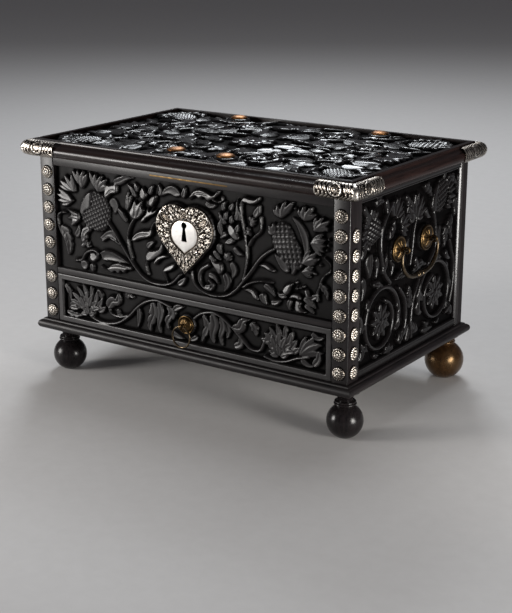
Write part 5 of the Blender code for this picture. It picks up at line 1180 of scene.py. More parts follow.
def carve_side(r):
    r.dome = 0.5
    # Two round scrolls with open flowers, on stems from the middle of the foot
    for centre, hand, start in (((-57, 113), 1, -20), ((61, 116), -1, 200)):
        r.scroll(centre, start, 1.25, 39, 22, 2.8, 3.6, hand)
        r.blossom(centre, 20, 9, 3.7, 15)
        for k in range(9):
            angle = math.radians(start + hand * (30 + 40 * k))
            root = (centre[0] + 34 * math.cos(angle), centre[1] + 34 * math.sin(angle))
            away = math.radians(math.degrees(angle) + hand * 55)
            r.leaf([root, (root[0] + 5 * math.cos(away), root[1] + 5 * math.sin(away)),
                    (root[0] + 11 * math.cos(away + hand * 0.6),
                     root[1] + 11 * math.sin(away + hand * 0.6))], 3.6, 3.2, tilt=0.2 * hand)
    r.stem([(-16, 79), (-6, 92), (-4, 110), (-8, 126), (-20, 140)], 2.4, 2.2, 3.6)
    r.stem([(10, 78), (8, 96), (12, 118), (24, 140)], 2.4, 2.0, 3.4)
    r.leaf([(-20, 80), (-9, 87), (2, 96)], 6.5, 3.6, lobes=3)
    r.leaf([(24, 82), (14, 88), (6, 98)], 6.5, 3.4, lobes=3)
    r.leaf([(2, 112), (3, 124), (1, 138)], 7.8, 3.6, lobes=4)
    r.leaf([(20, 122), (28, 118), (36, 112)], 6.0, 3.2, tilt=0.2)
    # Left stem with its seed head and feathers
    r.stem([(-40, 150), (-54, 166), (-61, 196), (-55, 216), (-40, 233)], 2.6, 2.6, 3.8)
    r.pod((-76, 211), 20, 34, 27, 3.6, pitch=5.0, lattice=62.0, cut=1.1)
    r.fan((-76, 211), 75, 150, 6, 13, 27, 3.4, 3.6)
    r.fan((-76, 211), 170, 240, 5, 14, 26, 3.4, 3.5)
    r.leaf([(-83, 190), (-82, 178), (-84, 164)], 8.5, 3.8)
    r.leaf([(-58, 164), (-50, 170), (-49, 184)], 6.5, 3.8, tilt=0.25)
    r.leaf([(-96, 168), (-92, 156), (-98, 143)], 5.2, 3.4)
    r.leaf([(-98, 186), (-92, 196), (-96, 206)], 5.2, 3.2, lobes=2)
    r.leaf([(-72, 236), (-66, 240), (-56, 238)], 5.9, 3.4, lobes=2)
    r.fan((-34, 214), 20, 110, 7, 4, 26, 3.4, 3.6)
    r.fan((-22, 204), -40, 60, 6, 4, 22, 3.2, 3.6)
    r.leaf([(-44, 196), (-36, 205), (-34, 216)], 5.7, 3.6, lobes=3)
    # Middle: a tall feathered flower between the handle's eyes
    r.stem([(2, 160), (6, 176), (9, 196), (14, 210)], 2.0, 1.8, 3.5)
    r.fan((12, 206), 25, 155, 8, 4, 30, 4.0, 3.7)
    r.fan((12, 205), 10, 170, 6, 3, 17, 3.8, 3.9)
    r.leaf([(2, 172), (-4, 180), (-3, 192)], 5.2, 3.2, tilt=0.2)
    r.leaf([(-6, 150), (-16, 154), (-30, 150)], 5.9, 3.4, lobes=3)
    r.leaf([(10, 150), (24, 156), (40, 152)], 5.9, 3.4, lobes=3)
    # Right stem with the other seed head
    r.stem([(44, 152), (58, 168), (57, 190), (52, 206)], 2.4, 2.2, 3.6)
    r.pod((68, 222), 62, 38, 29, 3.6, pitch=5.0, lattice=20.0, cut=1.1)
    r.leaf([(54, 206), (54, 222), (60, 238)], 7.0, 3.8, tilt=0.2)
    r.fan((70, 220), -40, 40, 6, 15, 32, 3.4, 3.6)
    r.fan((70, 222), 50, 100, 3, 17, 24, 3.2, 3.4)
    r.leaf([(66, 190), (64, 178), (68, 166)], 6.0, 3.6)
    r.leaf([(80, 186), (82, 174), (78, 162)], 6.0, 3.6, lobes=3)
    r.leaf([(94, 196), (92, 182), (96, 168)], 6.0, 3.4, lobes=3)
    r.stem([(92, 168), (98, 154), (104, 140), (104, 118), (98, 96)], 1.8, 2.2, 3.4)
    r.leaf([(100, 214), (104, 204), (102, 192)], 5.2, 3.2)
    r.leaf([(84, 240), (94, 236), (104, 228)], 5.7, 3.4, lobes=2)
    r.leaf([(30, 240), (40, 234), (46, 224)], 6.0, 3.4, lobes=3)
    # Corners of the foot
    r.leaf([(-98, 80), (-92, 90), (-96, 100)], 5.7, 3.2, lobes=2)
    r.leaf([(-28, 78), (-40, 77), (-52, 76)], 4.4, 3.0)
    r.leaf([(34, 78), (46, 77), (60, 77)], 4.4, 3.0)
    r.leaf([(104, 80), (98, 88), (88, 84)], 5.5, 3.2, lobes=2)
    # Leaves that fill the gaps
    for spine, wide, lobes in (
            ([(-96, 240), (-90, 232), (-88, 222)], 4.6, 0), ([(-52, 240), (-48, 230), (-50, 218)], 4.6, 0),
            ([(-70, 184), (-66, 174), (-70, 160)], 4.8, 0), ([(-40, 176), (-34, 168), (-38, 156)], 4.4, 0),
            ([(-14, 178), (-12, 166), (-18, 156)], 4.4, 2), ([(-10, 236), (-4, 228), (-8, 216)], 4.4, 2),
            ([(34, 214), (38, 206), (46, 202)], 4.2, 0), ([(14, 166), (18, 156), (26, 150)], 4.2, 0),
            ([(50, 150), (62, 156), (74, 152)], 4.6, 2), ([(-100, 130), (-96, 120), (-100, 108)], 4.0, 2),
            ([(-26, 96), (-20, 104), (-22, 116)], 4.4, 0), ([(26, 98), (22, 108), (26, 118)], 4.4, 0),
            ([(-74, 156), (-62, 154), (-52, 148)], 4.2, 2), ([(84, 158), (88, 150), (96, 146)], 4.0, 0),
            ([(108, 240), (106, 228), (108, 216)], 3.8, 0), ([(-2, 76), (2, 84), (2, 94)], 4.0, 0)):
        r.leaf(spine, wide, 3.5, lobes=lobes, tilt=-0.2)
    r.height[:] = SIDE_DEEPEN * r.height
    for eye in HANDLE_EYES:
        r.flat(eye, *EYE_PAD)
    border = (r.v < SIDE_BORDER[0]) | (r.v > SIDE_BORDER[1])
    r.height[border] = BORDER_RISE
    step = np.minimum(np.abs(r.v - SIDE_BORDER[0]), np.abs(r.v - SIDE_BORDER[1]))
    r.height[border & (step > BORDER_LINE[0]) & (step < BORDER_LINE[1])] = BORDER_LINE[2]


side_ebony = carved_ebony("carved ebony of the sides", GRAIN_DEEP, SHADED_EBONY_DARK, SHADED_EBONY_LIGHT, deep=0.35,
                          smooth=0.15, dull=0.36, shine=0.28, marks=0.03)
right_panel = carved_board("carved_side_right", SIDE_FIELD, SIDE_PITCH, carve_side,
                           lambda u, v, h: (SIDE_GROUND_X + h, u, v), 0, SIDE_BACK_X)
right_panel.data.materials.append(side_ebony)
right_panel.data.materials.append(base_ebony_dimmed_sides)
left_panel = copied(right_panel, "carved_side_left", Matrix.Scale(-1.0, 4, (1, 0, 0)))
for panel, node in ((right_panel, "right_side_panel"), (left_panel, "left_side_panel")):
    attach(panel, "case")
    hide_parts(node)


# Back, floor and guides
# The back is a plain ebony board. A floor of brown wood parts the chest from the drawer, and two guides of
# the same wood are glued to the base to lead the drawer.
INNER_DARK = (0.030, 0.013, 0.006, 1.0)
INNER_LIGHT = (0.110, 0.054, 0.026, 1.0)
inner_wood = polished_wood("inner wood", INNER_DARK, INNER_LIGHT, (0.05, 1.0, 1.0), smooth=0.42, dull=0.62,
                           scale=260.0, bump=0.2)
inner_wood_deep = polished_wood("inner wood front to back", INNER_DARK, INNER_LIGHT, (1.0, 0.05, 1.0),
                                smooth=0.42, dull=0.62, scale=260.0, bump=0.2)
dress("back_panel", rail_ebony)
dress("compartment_floor", inner_wood)
for label in ("left", "right"):
    dress("drawer_guide_" + label, inner_wood_deep)


# Lock
# An iron box lock is nailed behind the front panel. Its bolt slides through a staple of forged iron that
# is let into the underside of the lid.
IRON_DARK = (0.018, 0.014, 0.012, 1.0)
IRON_LIGHT = (0.110, 0.098, 0.090, 1.0)
dark_iron = old_brass("forged iron", IRON_DARK, IRON_LIGHT, 0.38, 0.62)
for node in ("lock_case", "lock_bolt", "lock_staple"):
    dress(node, dark_iron)


# Drawer
# A shallow drawer: its ebony front is carved inside a plain border, and its sides, back and bottom are thin
# brown boards, glued and nailed.
DRAWER_PITCH = 0.52
DRAWER_FACE = (-180.9, 180.9, 64.6, 119.6)
DRAWER_BORDER = 6.5
DRAWER_GROUND_Y = -0.1205
DRAWER_BACK_Y = -0.1135
PULL_SPOT = (0.0, 91.3)
PULL_PAD = (11.0, 3.8)
DRAWER_BORDER_RISE = 5.0
DRAWER_RIM = (0.3, 4.6)


def carve_drawer(r):
    # Left flower and the curling stem that leaves it
    r.fan((-138, 78), 20, 165, 9, 15, 36, 3.4, 4.4, 8)
    r.fan((-138, 79), 38, 150, 6, 7, 25, 3.2, 4.9, -10)
    r.fan((-138, 77), 15, 165, 5, 1, 14, 2.8, 5.1, 12)
    r.leaf([(-166, 84), (-158, 86), (-150, 82)], 4.0, 3.8)
    r.leaf([(-172, 76), (-160, 74), (-146, 75)], 3.6, 3.4, lobes=3)
    r.leaf([(-173, 108), (-166, 100), (-164, 90)], 3.8, 3.4, lobes=2)
    r.leaf([(-126, 108), (-120, 104), (-117, 96)], 3.6, 3.6)
    r.stem([(-134, 76), (-122, 72.4), (-110, 72.4), (-95, 76), (-80, 86), (-68, 98), (-55, 107), (-40, 111),
            (-22, 107)], 1.8, 1.7, 4.4)
    r.stem([(-109, 93), (-105, 85), (-93, 83), (-82, 86)], 1.5, 1.7, 4.0)
    r.leaf([(-109, 91), (-103, 99), (-95, 101), (-93, 111)], 6.0, 4.8, tilt=0.25)
    r.leaf([(-96, 92), (-94, 86), (-86, 84)], 2.8, 3.2)
    r.leaf([(-82, 106), (-80, 111), (-72, 108)], 4.0, 3.8, lobes=2)
    r.leaf([(-66, 98), (-66, 86), (-68, 74)], 3.8, 3.4, tilt=0.2)
    # Drooping leaves on each side of the pull
    r.leaf([(-46, 108), (-44, 96), (-50, 82), (-49, 74)], 6.2, 4.6, tilt=-0.2, lobes=3)
    r.leaf([(-38, 110), (-35, 98), (-38, 84), (-36, 74)], 4.6, 4.2, tilt=0.2)
    r.leaf([(-26, 107), (-20, 100), (-26, 90), (-24, 80)], 5.0, 4.4, lobes=3)
    r.leaf([(-20, 80), (-14, 76), (-4, 74)], 3.4, 3.6)
    r.leaf([(-18, 104), (-12, 108), (-4, 110)], 3.8, 3.8)
    r.stem([(9, 99), (20, 107), (35, 110.4), (48, 106), (60, 98), (72, 88), (82, 80), (94, 80), (100, 91)],
           1.7, 1.7, 4.4)
    r.leaf([(22, 106), (27, 94), (22, 82), (20, 74)], 5.0, 4.4, tilt=0.2, lobes=3)
    r.leaf([(34, 109), (37, 98), (34, 86), (36, 76)], 5.6, 4.6, tilt=-0.2)
    r.leaf([(44, 107), (47, 97), (44, 86), (46, 75)], 4.2, 4.0, tilt=0.2)
    r.leaf([(50, 104), (54, 94), (52, 84)], 3.8, 3.6, lobes=2)
    r.leaf([(14, 80), (8, 76), (2, 74)], 3.2, 3.4)
    # Right flower and its stems
    r.leaf([(60, 99), (69, 100), (73, 108), (81, 111)], 5.6, 4.8, tilt=0.25)
    r.leaf([(62, 78), (70, 83), (69, 93)], 4.4, 4.6)
    r.leaf([(82, 108), (87, 103), (90, 94)], 4.4, 3.6, lobes=2)
    r.leaf([(100, 91), (107, 97), (108, 106)], 4.4, 4.0)
    r.fan((119, 79), 22, 140, 8, 15, 35, 3.4, 4.4, 8)
    r.fan((119, 80), 30, 150, 6, 7, 24, 3.2, 4.9, -10)
    r.fan((119, 78), 15, 165, 5, 1, 14, 2.8, 5.1, 12)
    r.tuft((142, 84), [(150, 106), (160, 107), (168, 101), (171, 92)], 3.4, 4.4)
    r.stem([(100, 75), (112, 72.6), (126, 74.5), (140, 80.5), (153, 84)], 1.6, 1.6, 4.2)
    r.leaf([(118, 88), (112, 82), (104, 82)], 3.8, 3.6)
    r.leaf([(144, 80), (152, 76), (160, 75)], 3.4, 3.4)
    r.leaf([(159, 76), (165, 84), (166, 94)], 4.2, 4.2)
    r.leaf([(152, 90), (160, 98), (170, 100)], 4.0, 3.6, lobes=2)
    r.leaf([(156, 110), (164, 106), (172, 108)], 3.4, 3.4)
    r.flat(PULL_SPOT, *PULL_PAD)
    edge = np.minimum(np.minimum(r.u - DRAWER_FACE[0], DRAWER_FACE[1] - r.u),
                      np.minimum(r.v - DRAWER_FACE[2], DRAWER_FACE[3] - r.v))
    r.height[edge < DRAWER_BORDER] = DRAWER_BORDER_RISE
    r.height[edge < DRAWER_RIM[0]] = DRAWER_RIM[1]


drawer_front = carved_board("carved_drawer_front", DRAWER_FACE, DRAWER_PITCH, carve_drawer,
                            lambda u, v, h: (u, DRAWER_GROUND_Y - h, v), 1, DRAWER_BACK_Y)
drawer_front.data.materials.append(front_ebony)
drawer_front.data.materials.append(rail_ebony)
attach(drawer_front, "drawer")
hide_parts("drawer_front")
for label in ("left", "right"):
    dress("drawer_side_" + label, inner_wood_deep)
dress("drawer_back", inner_wood)
dress("drawer_bottom", inner_wood)


# Drawer pull
# A cast brass rosette on a plain pad in the carving, with an eye that holds a loose ring of brass wire. A
# pin behind the rosette goes through the drawer front.
PULL_EYE = (0.0, -0.134, 0.0913)
PULL_SEAT_Y = -0.1246
PULL_RING_RADIUS = 0.0115
BRASS_DARK = (0.026, 0.017, 0.008, 1.0)
BRASS_LIGHT = (0.135, 0.084, 0.036, 1.0)
WIRE_DARK = (0.022, 0.016, 0.010, 1.0)
WIRE_LIGHT = (0.140, 0.105, 0.066, 1.0)


def cast_rosette(name, radius, rise, stalk, top, petals, cut):
    """A cast rosette: a bead round a dome, petals cut in the dome, and a short stalk on it."""
    dome = radius * 0.80
    profile = [(0.0, top), (stalk * 0.8, top), (stalk, top - 0.0006), (stalk, rise + 0.0004)]
    for i in range(19):
        swell = math.radians(5 * i)
        profile.append((stalk + 0.0003 + (dome - stalk - 0.0003) * math.sin(swell),
                        0.0010 + (rise - 0.0010) * math.cos(swell)))
    profile += arc((radius * 0.905, 0.0009), radius * 0.095, 165, 0, 10)
    profile += [(radius, 0.0), (0.0, 0.0)]
    piece = turned(name, profile, 120)
    for corner in piece.data.vertices:
        share = (math.hypot(corner.co.x, corner.co.y) - stalk) / (dome - stalk)
        if 0.02 < share < 1.0 and corner.co.z > 0.0002:
            wave = abs(math.sin(petals / 2 * math.atan2(corner.co.y, corner.co.x)))
            corner.co.z -= cut * (1.0 - wave ** 0.6) * math.sin(math.pi * share)
    return finished(piece, 50.0)


def ring_of_wire(name, radius, thin, thick):
    """A ring in the XY plane, thin at +Y and thick at -Y, as it is cast and filed."""
    bpy.ops.mesh.primitive_torus_add(major_segments=96, minor_segments=20,
                                     major_radius=radius, minor_radius=thick)
    piece = bpy.context.active_object
    piece.name = name
    for corner in piece.data.vertices:
        angle = math.atan2(corner.co.y, corner.co.x)
        core = Vector((radius * math.cos(angle), radius * math.sin(angle), 0.0))
        share = thin + (thick - thin) * (0.5 - 0.5 * math.sin(angle)) ** 0.6
        corner.co = core + (corner.co - core) * share / thick
    return finished(piece, 60.0)


brass = old_brass("aged brass", BRASS_DARK, BRASS_LIGHT, 0.26, 0.44)
brass_wire = old_brass("dark brass wire", WIRE_DARK, WIRE_LIGHT, 0.22, 0.38)
face_front = Matrix.Rotation(math.pi / 2, 4, "X")
pull = cast_rosette("pull_rosette", 0.0102, 0.0046, 0.0022, PULL_SEAT_Y - PULL_EYE[1] - 0.0018, 12, 0.0003)
pull.data.transform(Matrix.Translation((0.0, PULL_SEAT_Y, PULL_EYE[2])) @ face_front)
eye = ring_of_wire("pull_eye", 0.0025, 0.0009, 0.0009)
eye.data.transform(Matrix.Translation(PULL_EYE) @ Matrix.Rotation(math.pi / 2, 4, "Y"))
for piece in (pull, eye):
    piece.data.materials.append(brass)
    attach(piece, "drawer")
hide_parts("drawer_rosette")
ring = ring_of_wire("pull_ring_wire", PULL_RING_RADIUS, 0.00080, 0.00105)
ring.data.transform(Matrix.Translation((0.0, PULL_EYE[1], PULL_EYE[2] - PULL_RING_RADIUS)) @ face_front)
ring.data.materials.append(brass_wire)
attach(ring, "ring")
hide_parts("drawer_ring")


# Side handles
# On each side a cast brass bail with a bead in its grip hangs between two eyes, each on a petalled rosette
# that is pinned to a plain pad of the carving. Its ends hook into the eyes from outside.
EYE_LEVEL = 0.183
EYE_X = 0.2092
ROSETTE_SEAT_X = 0.1995
EYE_Y = (-0.027, 0.033)
BAIL_MIDDLE_Y = 0.003
BAIL_HALF = [(0.0235, 0.0, 0.0014), (0.0300, 0.0, 0.0015), (0.0342, -0.0002, 0.0015),
             (0.0375, -0.0035, 0.0016), (0.0385, -0.0095, 0.0017), (0.0370, -0.0160, 0.0019),
             (0.0325, -0.0226, 0.0021), (0.0255, -0.0280, 0.0023), (0.0170, -0.0306, 0.0024),
             (0.0095, -0.0314, 0.0025), (0.0066, -0.0315, 0.0021), (0.0058, -0.0315, 0.0029),
             (0.0046, -0.0315, 0.0029), (0.0038, -0.0315, 0.0021), (0.0030, -0.0315, 0.0027),
             (0.0015, -0.0315, 0.0032)]


def swept_bar(name, knots):
    """A round bar along (y, z) knots, each with its own radius, closed at both ends."""
    bpy.ops.curve.primitive_bezier_curve_add()
    path = bpy.context.active_object
    path.name = name
    path.data.splines.clear()
    spline = path.data.splines.new("POLY")
    spline.points.add(len(knots) - 1)
    for point, (y, z, radius) in zip(spline.points, knots):
        point.co = (0.0, y, z, 1.0)
        point.radius = radius
    path.data.dimensions = "3D"
    path.data.bevel_depth = 1.0
    path.data.bevel_resolution = 6
    path.data.use_fill_caps = True
    bpy.ops.object.convert(target="MESH")
    piece = bpy.context.active_object
    bpy.ops.object.mode_set(mode="EDIT")
    bpy.ops.mesh.select_all(action="SELECT")
    bpy.ops.mesh.remove_doubles(threshold=0.000002)
    bpy.ops.mesh.normals_make_consistent(inside=False)
    bpy.ops.object.mode_set(mode="OBJECT")
    return finished(piece, 50.0)


bail_knots = BAIL_HALF + [(0.0, -0.0315, 0.0033)]
bail_knots += [(-y, z, radius) for y, z, radius in reversed(BAIL_HALF)]
bail_line = smooth_path([(y * 1000.0, z * 1000.0) for y, z, radius in bail_knots], 0.45)
bail_pace = np.concatenate([[0.0], np.cumsum(np.hypot(*np.diff(bail_line, axis=0).T))])
knot_pace = [bail_pace[np.hypot(*(bail_line - (y * 1000.0, z * 1000.0)).T).argmin()]
             for y, z, radius in bail_knots]
bail_radii = np.interp(bail_pace, knot_pace, [radius for y, z, radius in bail_knots])
bail_bar = [(y / 1000.0, z / 1000.0, radius) for (y, z), radius in zip(bail_line, bail_radii)]
bail_model = swept_bar("bail_model", bail_bar)
bail_model.data.materials.append(brass_wire)
eye_model = cast_rosette("eye_model", 0.0138, 0.0042, 0.0026, EYE_X - ROSETTE_SEAT_X - 0.0022, 10, 0.0008)
eye_loop = ring_of_wire("eye_loop", 0.0030, 0.0011, 0.0011)
eye_loop.data.transform(Matrix.Translation((0.0, 0.0, EYE_X - ROSETTE_SEAT_X)) @ face_front)
eye_loop.select_set(True)
eye_model.select_set(True)
bpy.context.view_layer.objects.active = eye_model
bpy.ops.object.join()
eye_model.data.materials.append(brass)
bpy.ops.object.select_all(action="DESELECT")
for label, side in (("left", -1), ("right", 1)):
    outward = Matrix.Rotation(side * math.pi / 2, 4, "Y")
    for end, y in zip(("front", "back"), EYE_Y):
        place = Matrix.Translation((side * ROSETTE_SEAT_X, y, EYE_LEVEL))
        rosette = copied(eye_model, "handle_rosette_" + label + "_" + end, place @ outward)
        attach(rosette, "case")
        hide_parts("handle_eye_" + label + "_" + end)
    bail = copied(bail_model, "brass_bail_" + label,
                  Matrix.Translation((side * EYE_X, BAIL_MIDDLE_Y, EYE_LEVEL)))
    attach(bail, label + "_bail")
    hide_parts(label + "_handle")
for model in (bail_model, eye_model):
    bpy.data.objects.remove(model)


# Lid
# A carved ebony board in a mitred frame of ebony mouldings: a thin fillet on top, a hollow, and a broad
# round nose that stands out past the case. All of it is polished bright.
LID_PITCH = 1.02
LID_FIELD = (-199.0, 199.0, -124.5, 124.5)
LID_GROUND_Z = 0.2664
LID_BOTTOM_Z = 0.2533
LID_HALF = (0.199, 0.1245)
# The nose's ebony is tinted redder than the rest of the ebony: a painted reddish sheen
RED_SHEEN_EDGE_DARK = (0.0050, 0.0036, 0.0036, 1.0)
RED_SHEEN_EDGE_LIGHT = (0.0200, 0.0105, 0.0092, 1.0)
LEAF_RISE = 3.4
LEAF_TILT = 0.44
LEAF_GROOVE = 0.3
SEED_SPOT = (166, 92)
BOSS_PAD = (13.5, 14.6)
LID_RELIEF = 5.05
BOSS_SPOTS = {"front_left": (-32.0, -95.5), "front_right": (32.0, -95.5),
              "back_left": (-96.5, 111.0), "back_right": (96.5, 111.0)}


def carve_lid(r):
    whole_u, whole_v = r.u, r.v
    r.dome = 0.14
    # The four quarters are alike: two scrolls wreathed in leaves, each round a flower
    r.u, r.v = np.abs(whole_u), np.abs(whole_v)
    for centre, reach, start, hand, leaves in (((60, 76), 28, 200, 1, 6), ((126, 32), 25, 20, -1, 6)):
        r.scroll(centre, start, 1.15, reach, reach * 0.62, 2.2, 4.5, hand)
        r.blossom(centre, reach * 0.52, 6, 4.8, 20)
        for i in range(leaves):
            angle = math.radians(start + hand * 360.0 * i / leaves)
            for bends, half_width, lobes in ((((0, 0.0), (13, 0.26), (30, 0.36)), 11.0, 2 * (i % 2)),
                                             (((-2, 0.30), (-7, 0.60), (-13, 0.80)), 5.2, 0)):
                spine = [(centre[0] + (reach + far) * math.cos(angle + hand * bend),
                          centre[1] + (reach + far) * math.sin(angle + hand * bend)) for far, bend in bends]
                r.leaf(spine, half_width, LEAF_RISE, lobes=lobes, tilt=LEAF_TILT if i % 3 else -LEAF_TILT,
                       groove=LEAF_GROOVE)
    # Palmettes in the middle of each edge, and leaves in the gaps between the scrolls
    r.fan((0, 82), 4, 90, 5, 4, 36, 5.6, 4.7)
    r.fan((164, 0), 4, 86, 5, 4, 32, 5.4, 4.7)
    for spine, wide, lobes in (
            ([(92, 116), (108, 112), (124, 118)], 7.0, 2), ([(96, 92), (112, 96), (130, 112)], 8.6, 2),
            ([(94, 70), (110, 76), (130, 74)], 8.0, 2), ([(30, 38), (42, 34), (58, 26)], 7.6, 2),
            ([(60, 26), (76, 18), (94, 22)], 7.0, 0), ([(34, 12), (52, 7), (72, 8)], 6.6, 2),
            ([(76, 4), (88, 8), (98, 4)], 5.4, 0), ([(14, 34), (9, 50), (13, 68)], 7.2, 2),
            ([(170, 38), (182, 50), (194, 54)], 6.8, 2), ([(18, 112), (32, 116), (46, 118)], 6.0, 0),
            ([(136, 76), (133, 92), (140, 110)], 7.2, 2), ([(150, 62), (164, 62), (178, 58)], 6.4, 0)):
        r.leaf(spine, wide, LEAF_RISE, lobes=lobes, tilt=-LEAF_TILT, groove=LEAF_GROOVE)
    # Seed head near each corner
    r.height[np.hypot(r.u - SEED_SPOT[0], r.v - SEED_SPOT[1]) < 23.5] = 0.0
    r.pod(SEED_SPOT, 38, 44, 32, 4.5, pitch=4.8, lattice=12.0, cut=1.2)
    r.fan(SEED_SPOT, -60, 30, 6, 18, 35, 4.4, 4.7)
    r.fan(SEED_SPOT, 48, 150, 6, 18, 34, 4.4, 4.7)
    r.u, r.v = whole_u, whole_v
    r.height[np.hypot(r.u, r.v) < 28.5] = 0.0
    r.blossom((0, 0), 27, 8, 4.9, 0)
    # Plain pads under the rivet heads, rounded off to their rims
    for spot in BOSS_SPOTS.values():
        gap = np.hypot(r.u - spot[0], r.v - spot[1])
        r.height[gap < BOSS_PAD[1]] = 0.0
        pad = gap < BOSS_PAD[0]
        r.height[pad] = PAD_RISE - 0.0165 * np.maximum(gap[pad] - 7.0, 0.0) ** 2
    r.height[:] = np.minimum(r.height, LID_RELIEF)


lid_section = [(0.0003, 0.0), (0.0078, 0.0), (0.0082, 0.0009)]
lid_section += arc((0.0092, 0.0072), 0.0059, -84, 86, 26)
lid_section += [(0.0085, 0.0136), (0.0075, 0.0141), (0.0067, 0.0150), (0.0062, 0.0162), (0.0060, 0.0168)]
lid_section += [(0.0060, 0.0177), (0.0055, 0.0182), (0.0003, 0.0182)]
# The lid takes the darker colours of the sides, as painted shade
lid_ebony = carved_ebony("carved ebony of the lid", GRAIN_ALONG, SHADED_EBONY_DARK, SHADED_EBONY_LIGHT, deep=0.40,
                         smooth=0.11, dull=0.40, shine=0.70, marks=0.01)
lid_edge = polished_wood("lid edge ebony", RED_SHEEN_EDGE_DARK, RED_SHEEN_EDGE_LIGHT, GRAIN_ALONG, smooth=0.24, dull=0.34,
                         shine=0.32)
# The nose's side runs take a copy with almost no shine, so they read dark: painted shade
lid_edge_dimmed_sides = polished_wood("lid edge ebony of the sides", RED_SHEEN_EDGE_DARK, RED_SHEEN_EDGE_LIGHT, GRAIN_DEEP,
                               smooth=0.20, dull=0.30, shine=0.06)
lid_panel = carved_board("carved_lid", LID_FIELD, LID_PITCH, carve_lid,
                         lambda u, v, h: (u, v, LID_GROUND_Z + h), 2, LID_BOTTOM_Z)
lid_panel.data.materials.append(lid_ebony)
lid_panel.data.materials.append(rail_ebony)
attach(lid_panel, "lid")
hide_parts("lid_panel")
for side, turn, long, other in FRAME_SIDES:
    run = moulding("lid_nose_" + side, lid_section, LID_HALF[long], LID_HALF[other], LID_BOTTOM_Z, turn)
    run.data.materials.append(lid_edge_dimmed_sides if long else lid_edge)
    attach(run, "lid")
    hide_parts("lid_moulding_" + side)


# Lid corner mounts
# Four corner pieces of thin silver, chased with scrolls and leaves on a matted ground. Each bulges over a
# corner of the lid from under the nose to the fillet, has rounded ends, and is pinned there.
MOUNT_ALONG = 236
MOUNT_ACROSS = 58
MOUNT_LEGS = (0.047, 0.052)
MOUNT_GIRTH = 27.0
MOUNT_ANGLES = (-78.0, 112.0)
MOUNT_OUT = 0.0096
MOUNT_LEVEL = LID_BOTTOM_Z + 0.0086
MOUNT_BELLY = 0.00658
MOUNT_HALF_HEIGHT = 0.0081
MOUNT_RELIEF = 0.0006
NOSE_OUT = (0.2143, 0.1398)
CORNER_ROUND = 0.004
MOUNT_SHEET = 0.0002
MOUNT_END_ROUND = 0.010
MOUNT_RIM = 0.0009


def chase_mount(r, corner, end):
    """Leaves and scrolls chased on a mount, unrolled: along it 0 to end, across it 0 to 27 mm."""
    for start, stop, way in ((3.5, corner - 5.0, 1), (corner + 5.0, end - 3.5, -1)):
        count = round((stop - start) / 4.2)
        for k in range(count + 1):
            middle = start + (stop - start) * k / count
            for level, lean in ((4.4, 1), (13.5, -1), (22.6, 1)):
                r.leaf([(middle - 2.2 * way, level - 3.8 * lean), (middle, level),
                        (middle + 3.4 * way, level + 4.0 * lean)], 1.45, 1.0, groove=0.3, tilt=0.15)
            r.bud((middle + 2.1, 9.0), 0.9, 1.0)
            r.bud((middle + 2.1, 18.0), 0.9, 1.0)
    r.leaf([(corner, 2.5), (corner, 13.0), (corner, 25.0)], 4.6, 1.1, lobes=4, groove=0.3)
    for middle, hand in ((corner * 0.5, 1), (end - (end - corner) * 0.55, -1)):
        r.flat((middle, 13.5), 8.8, 0.0)
        r.scroll((middle, 13.5), 90, 1.3, 8.0, 5.2, 0.75, 1.0, hand)
        r.blossom((middle, 13.5), 4.6, 7, 1.0)
        for k in range(10):
            turn = math.radians(36 * k)
            spine = [(middle + far * math.cos(turn + lean), 13.5 + far * math.sin(turn + lean))
                     for far, lean in ((5.4, 0.0), (6.6, 0.16 * hand), (7.6, 0.36 * hand))]
            r.leaf(spine, 0.9, 0.9, groove=0.0)


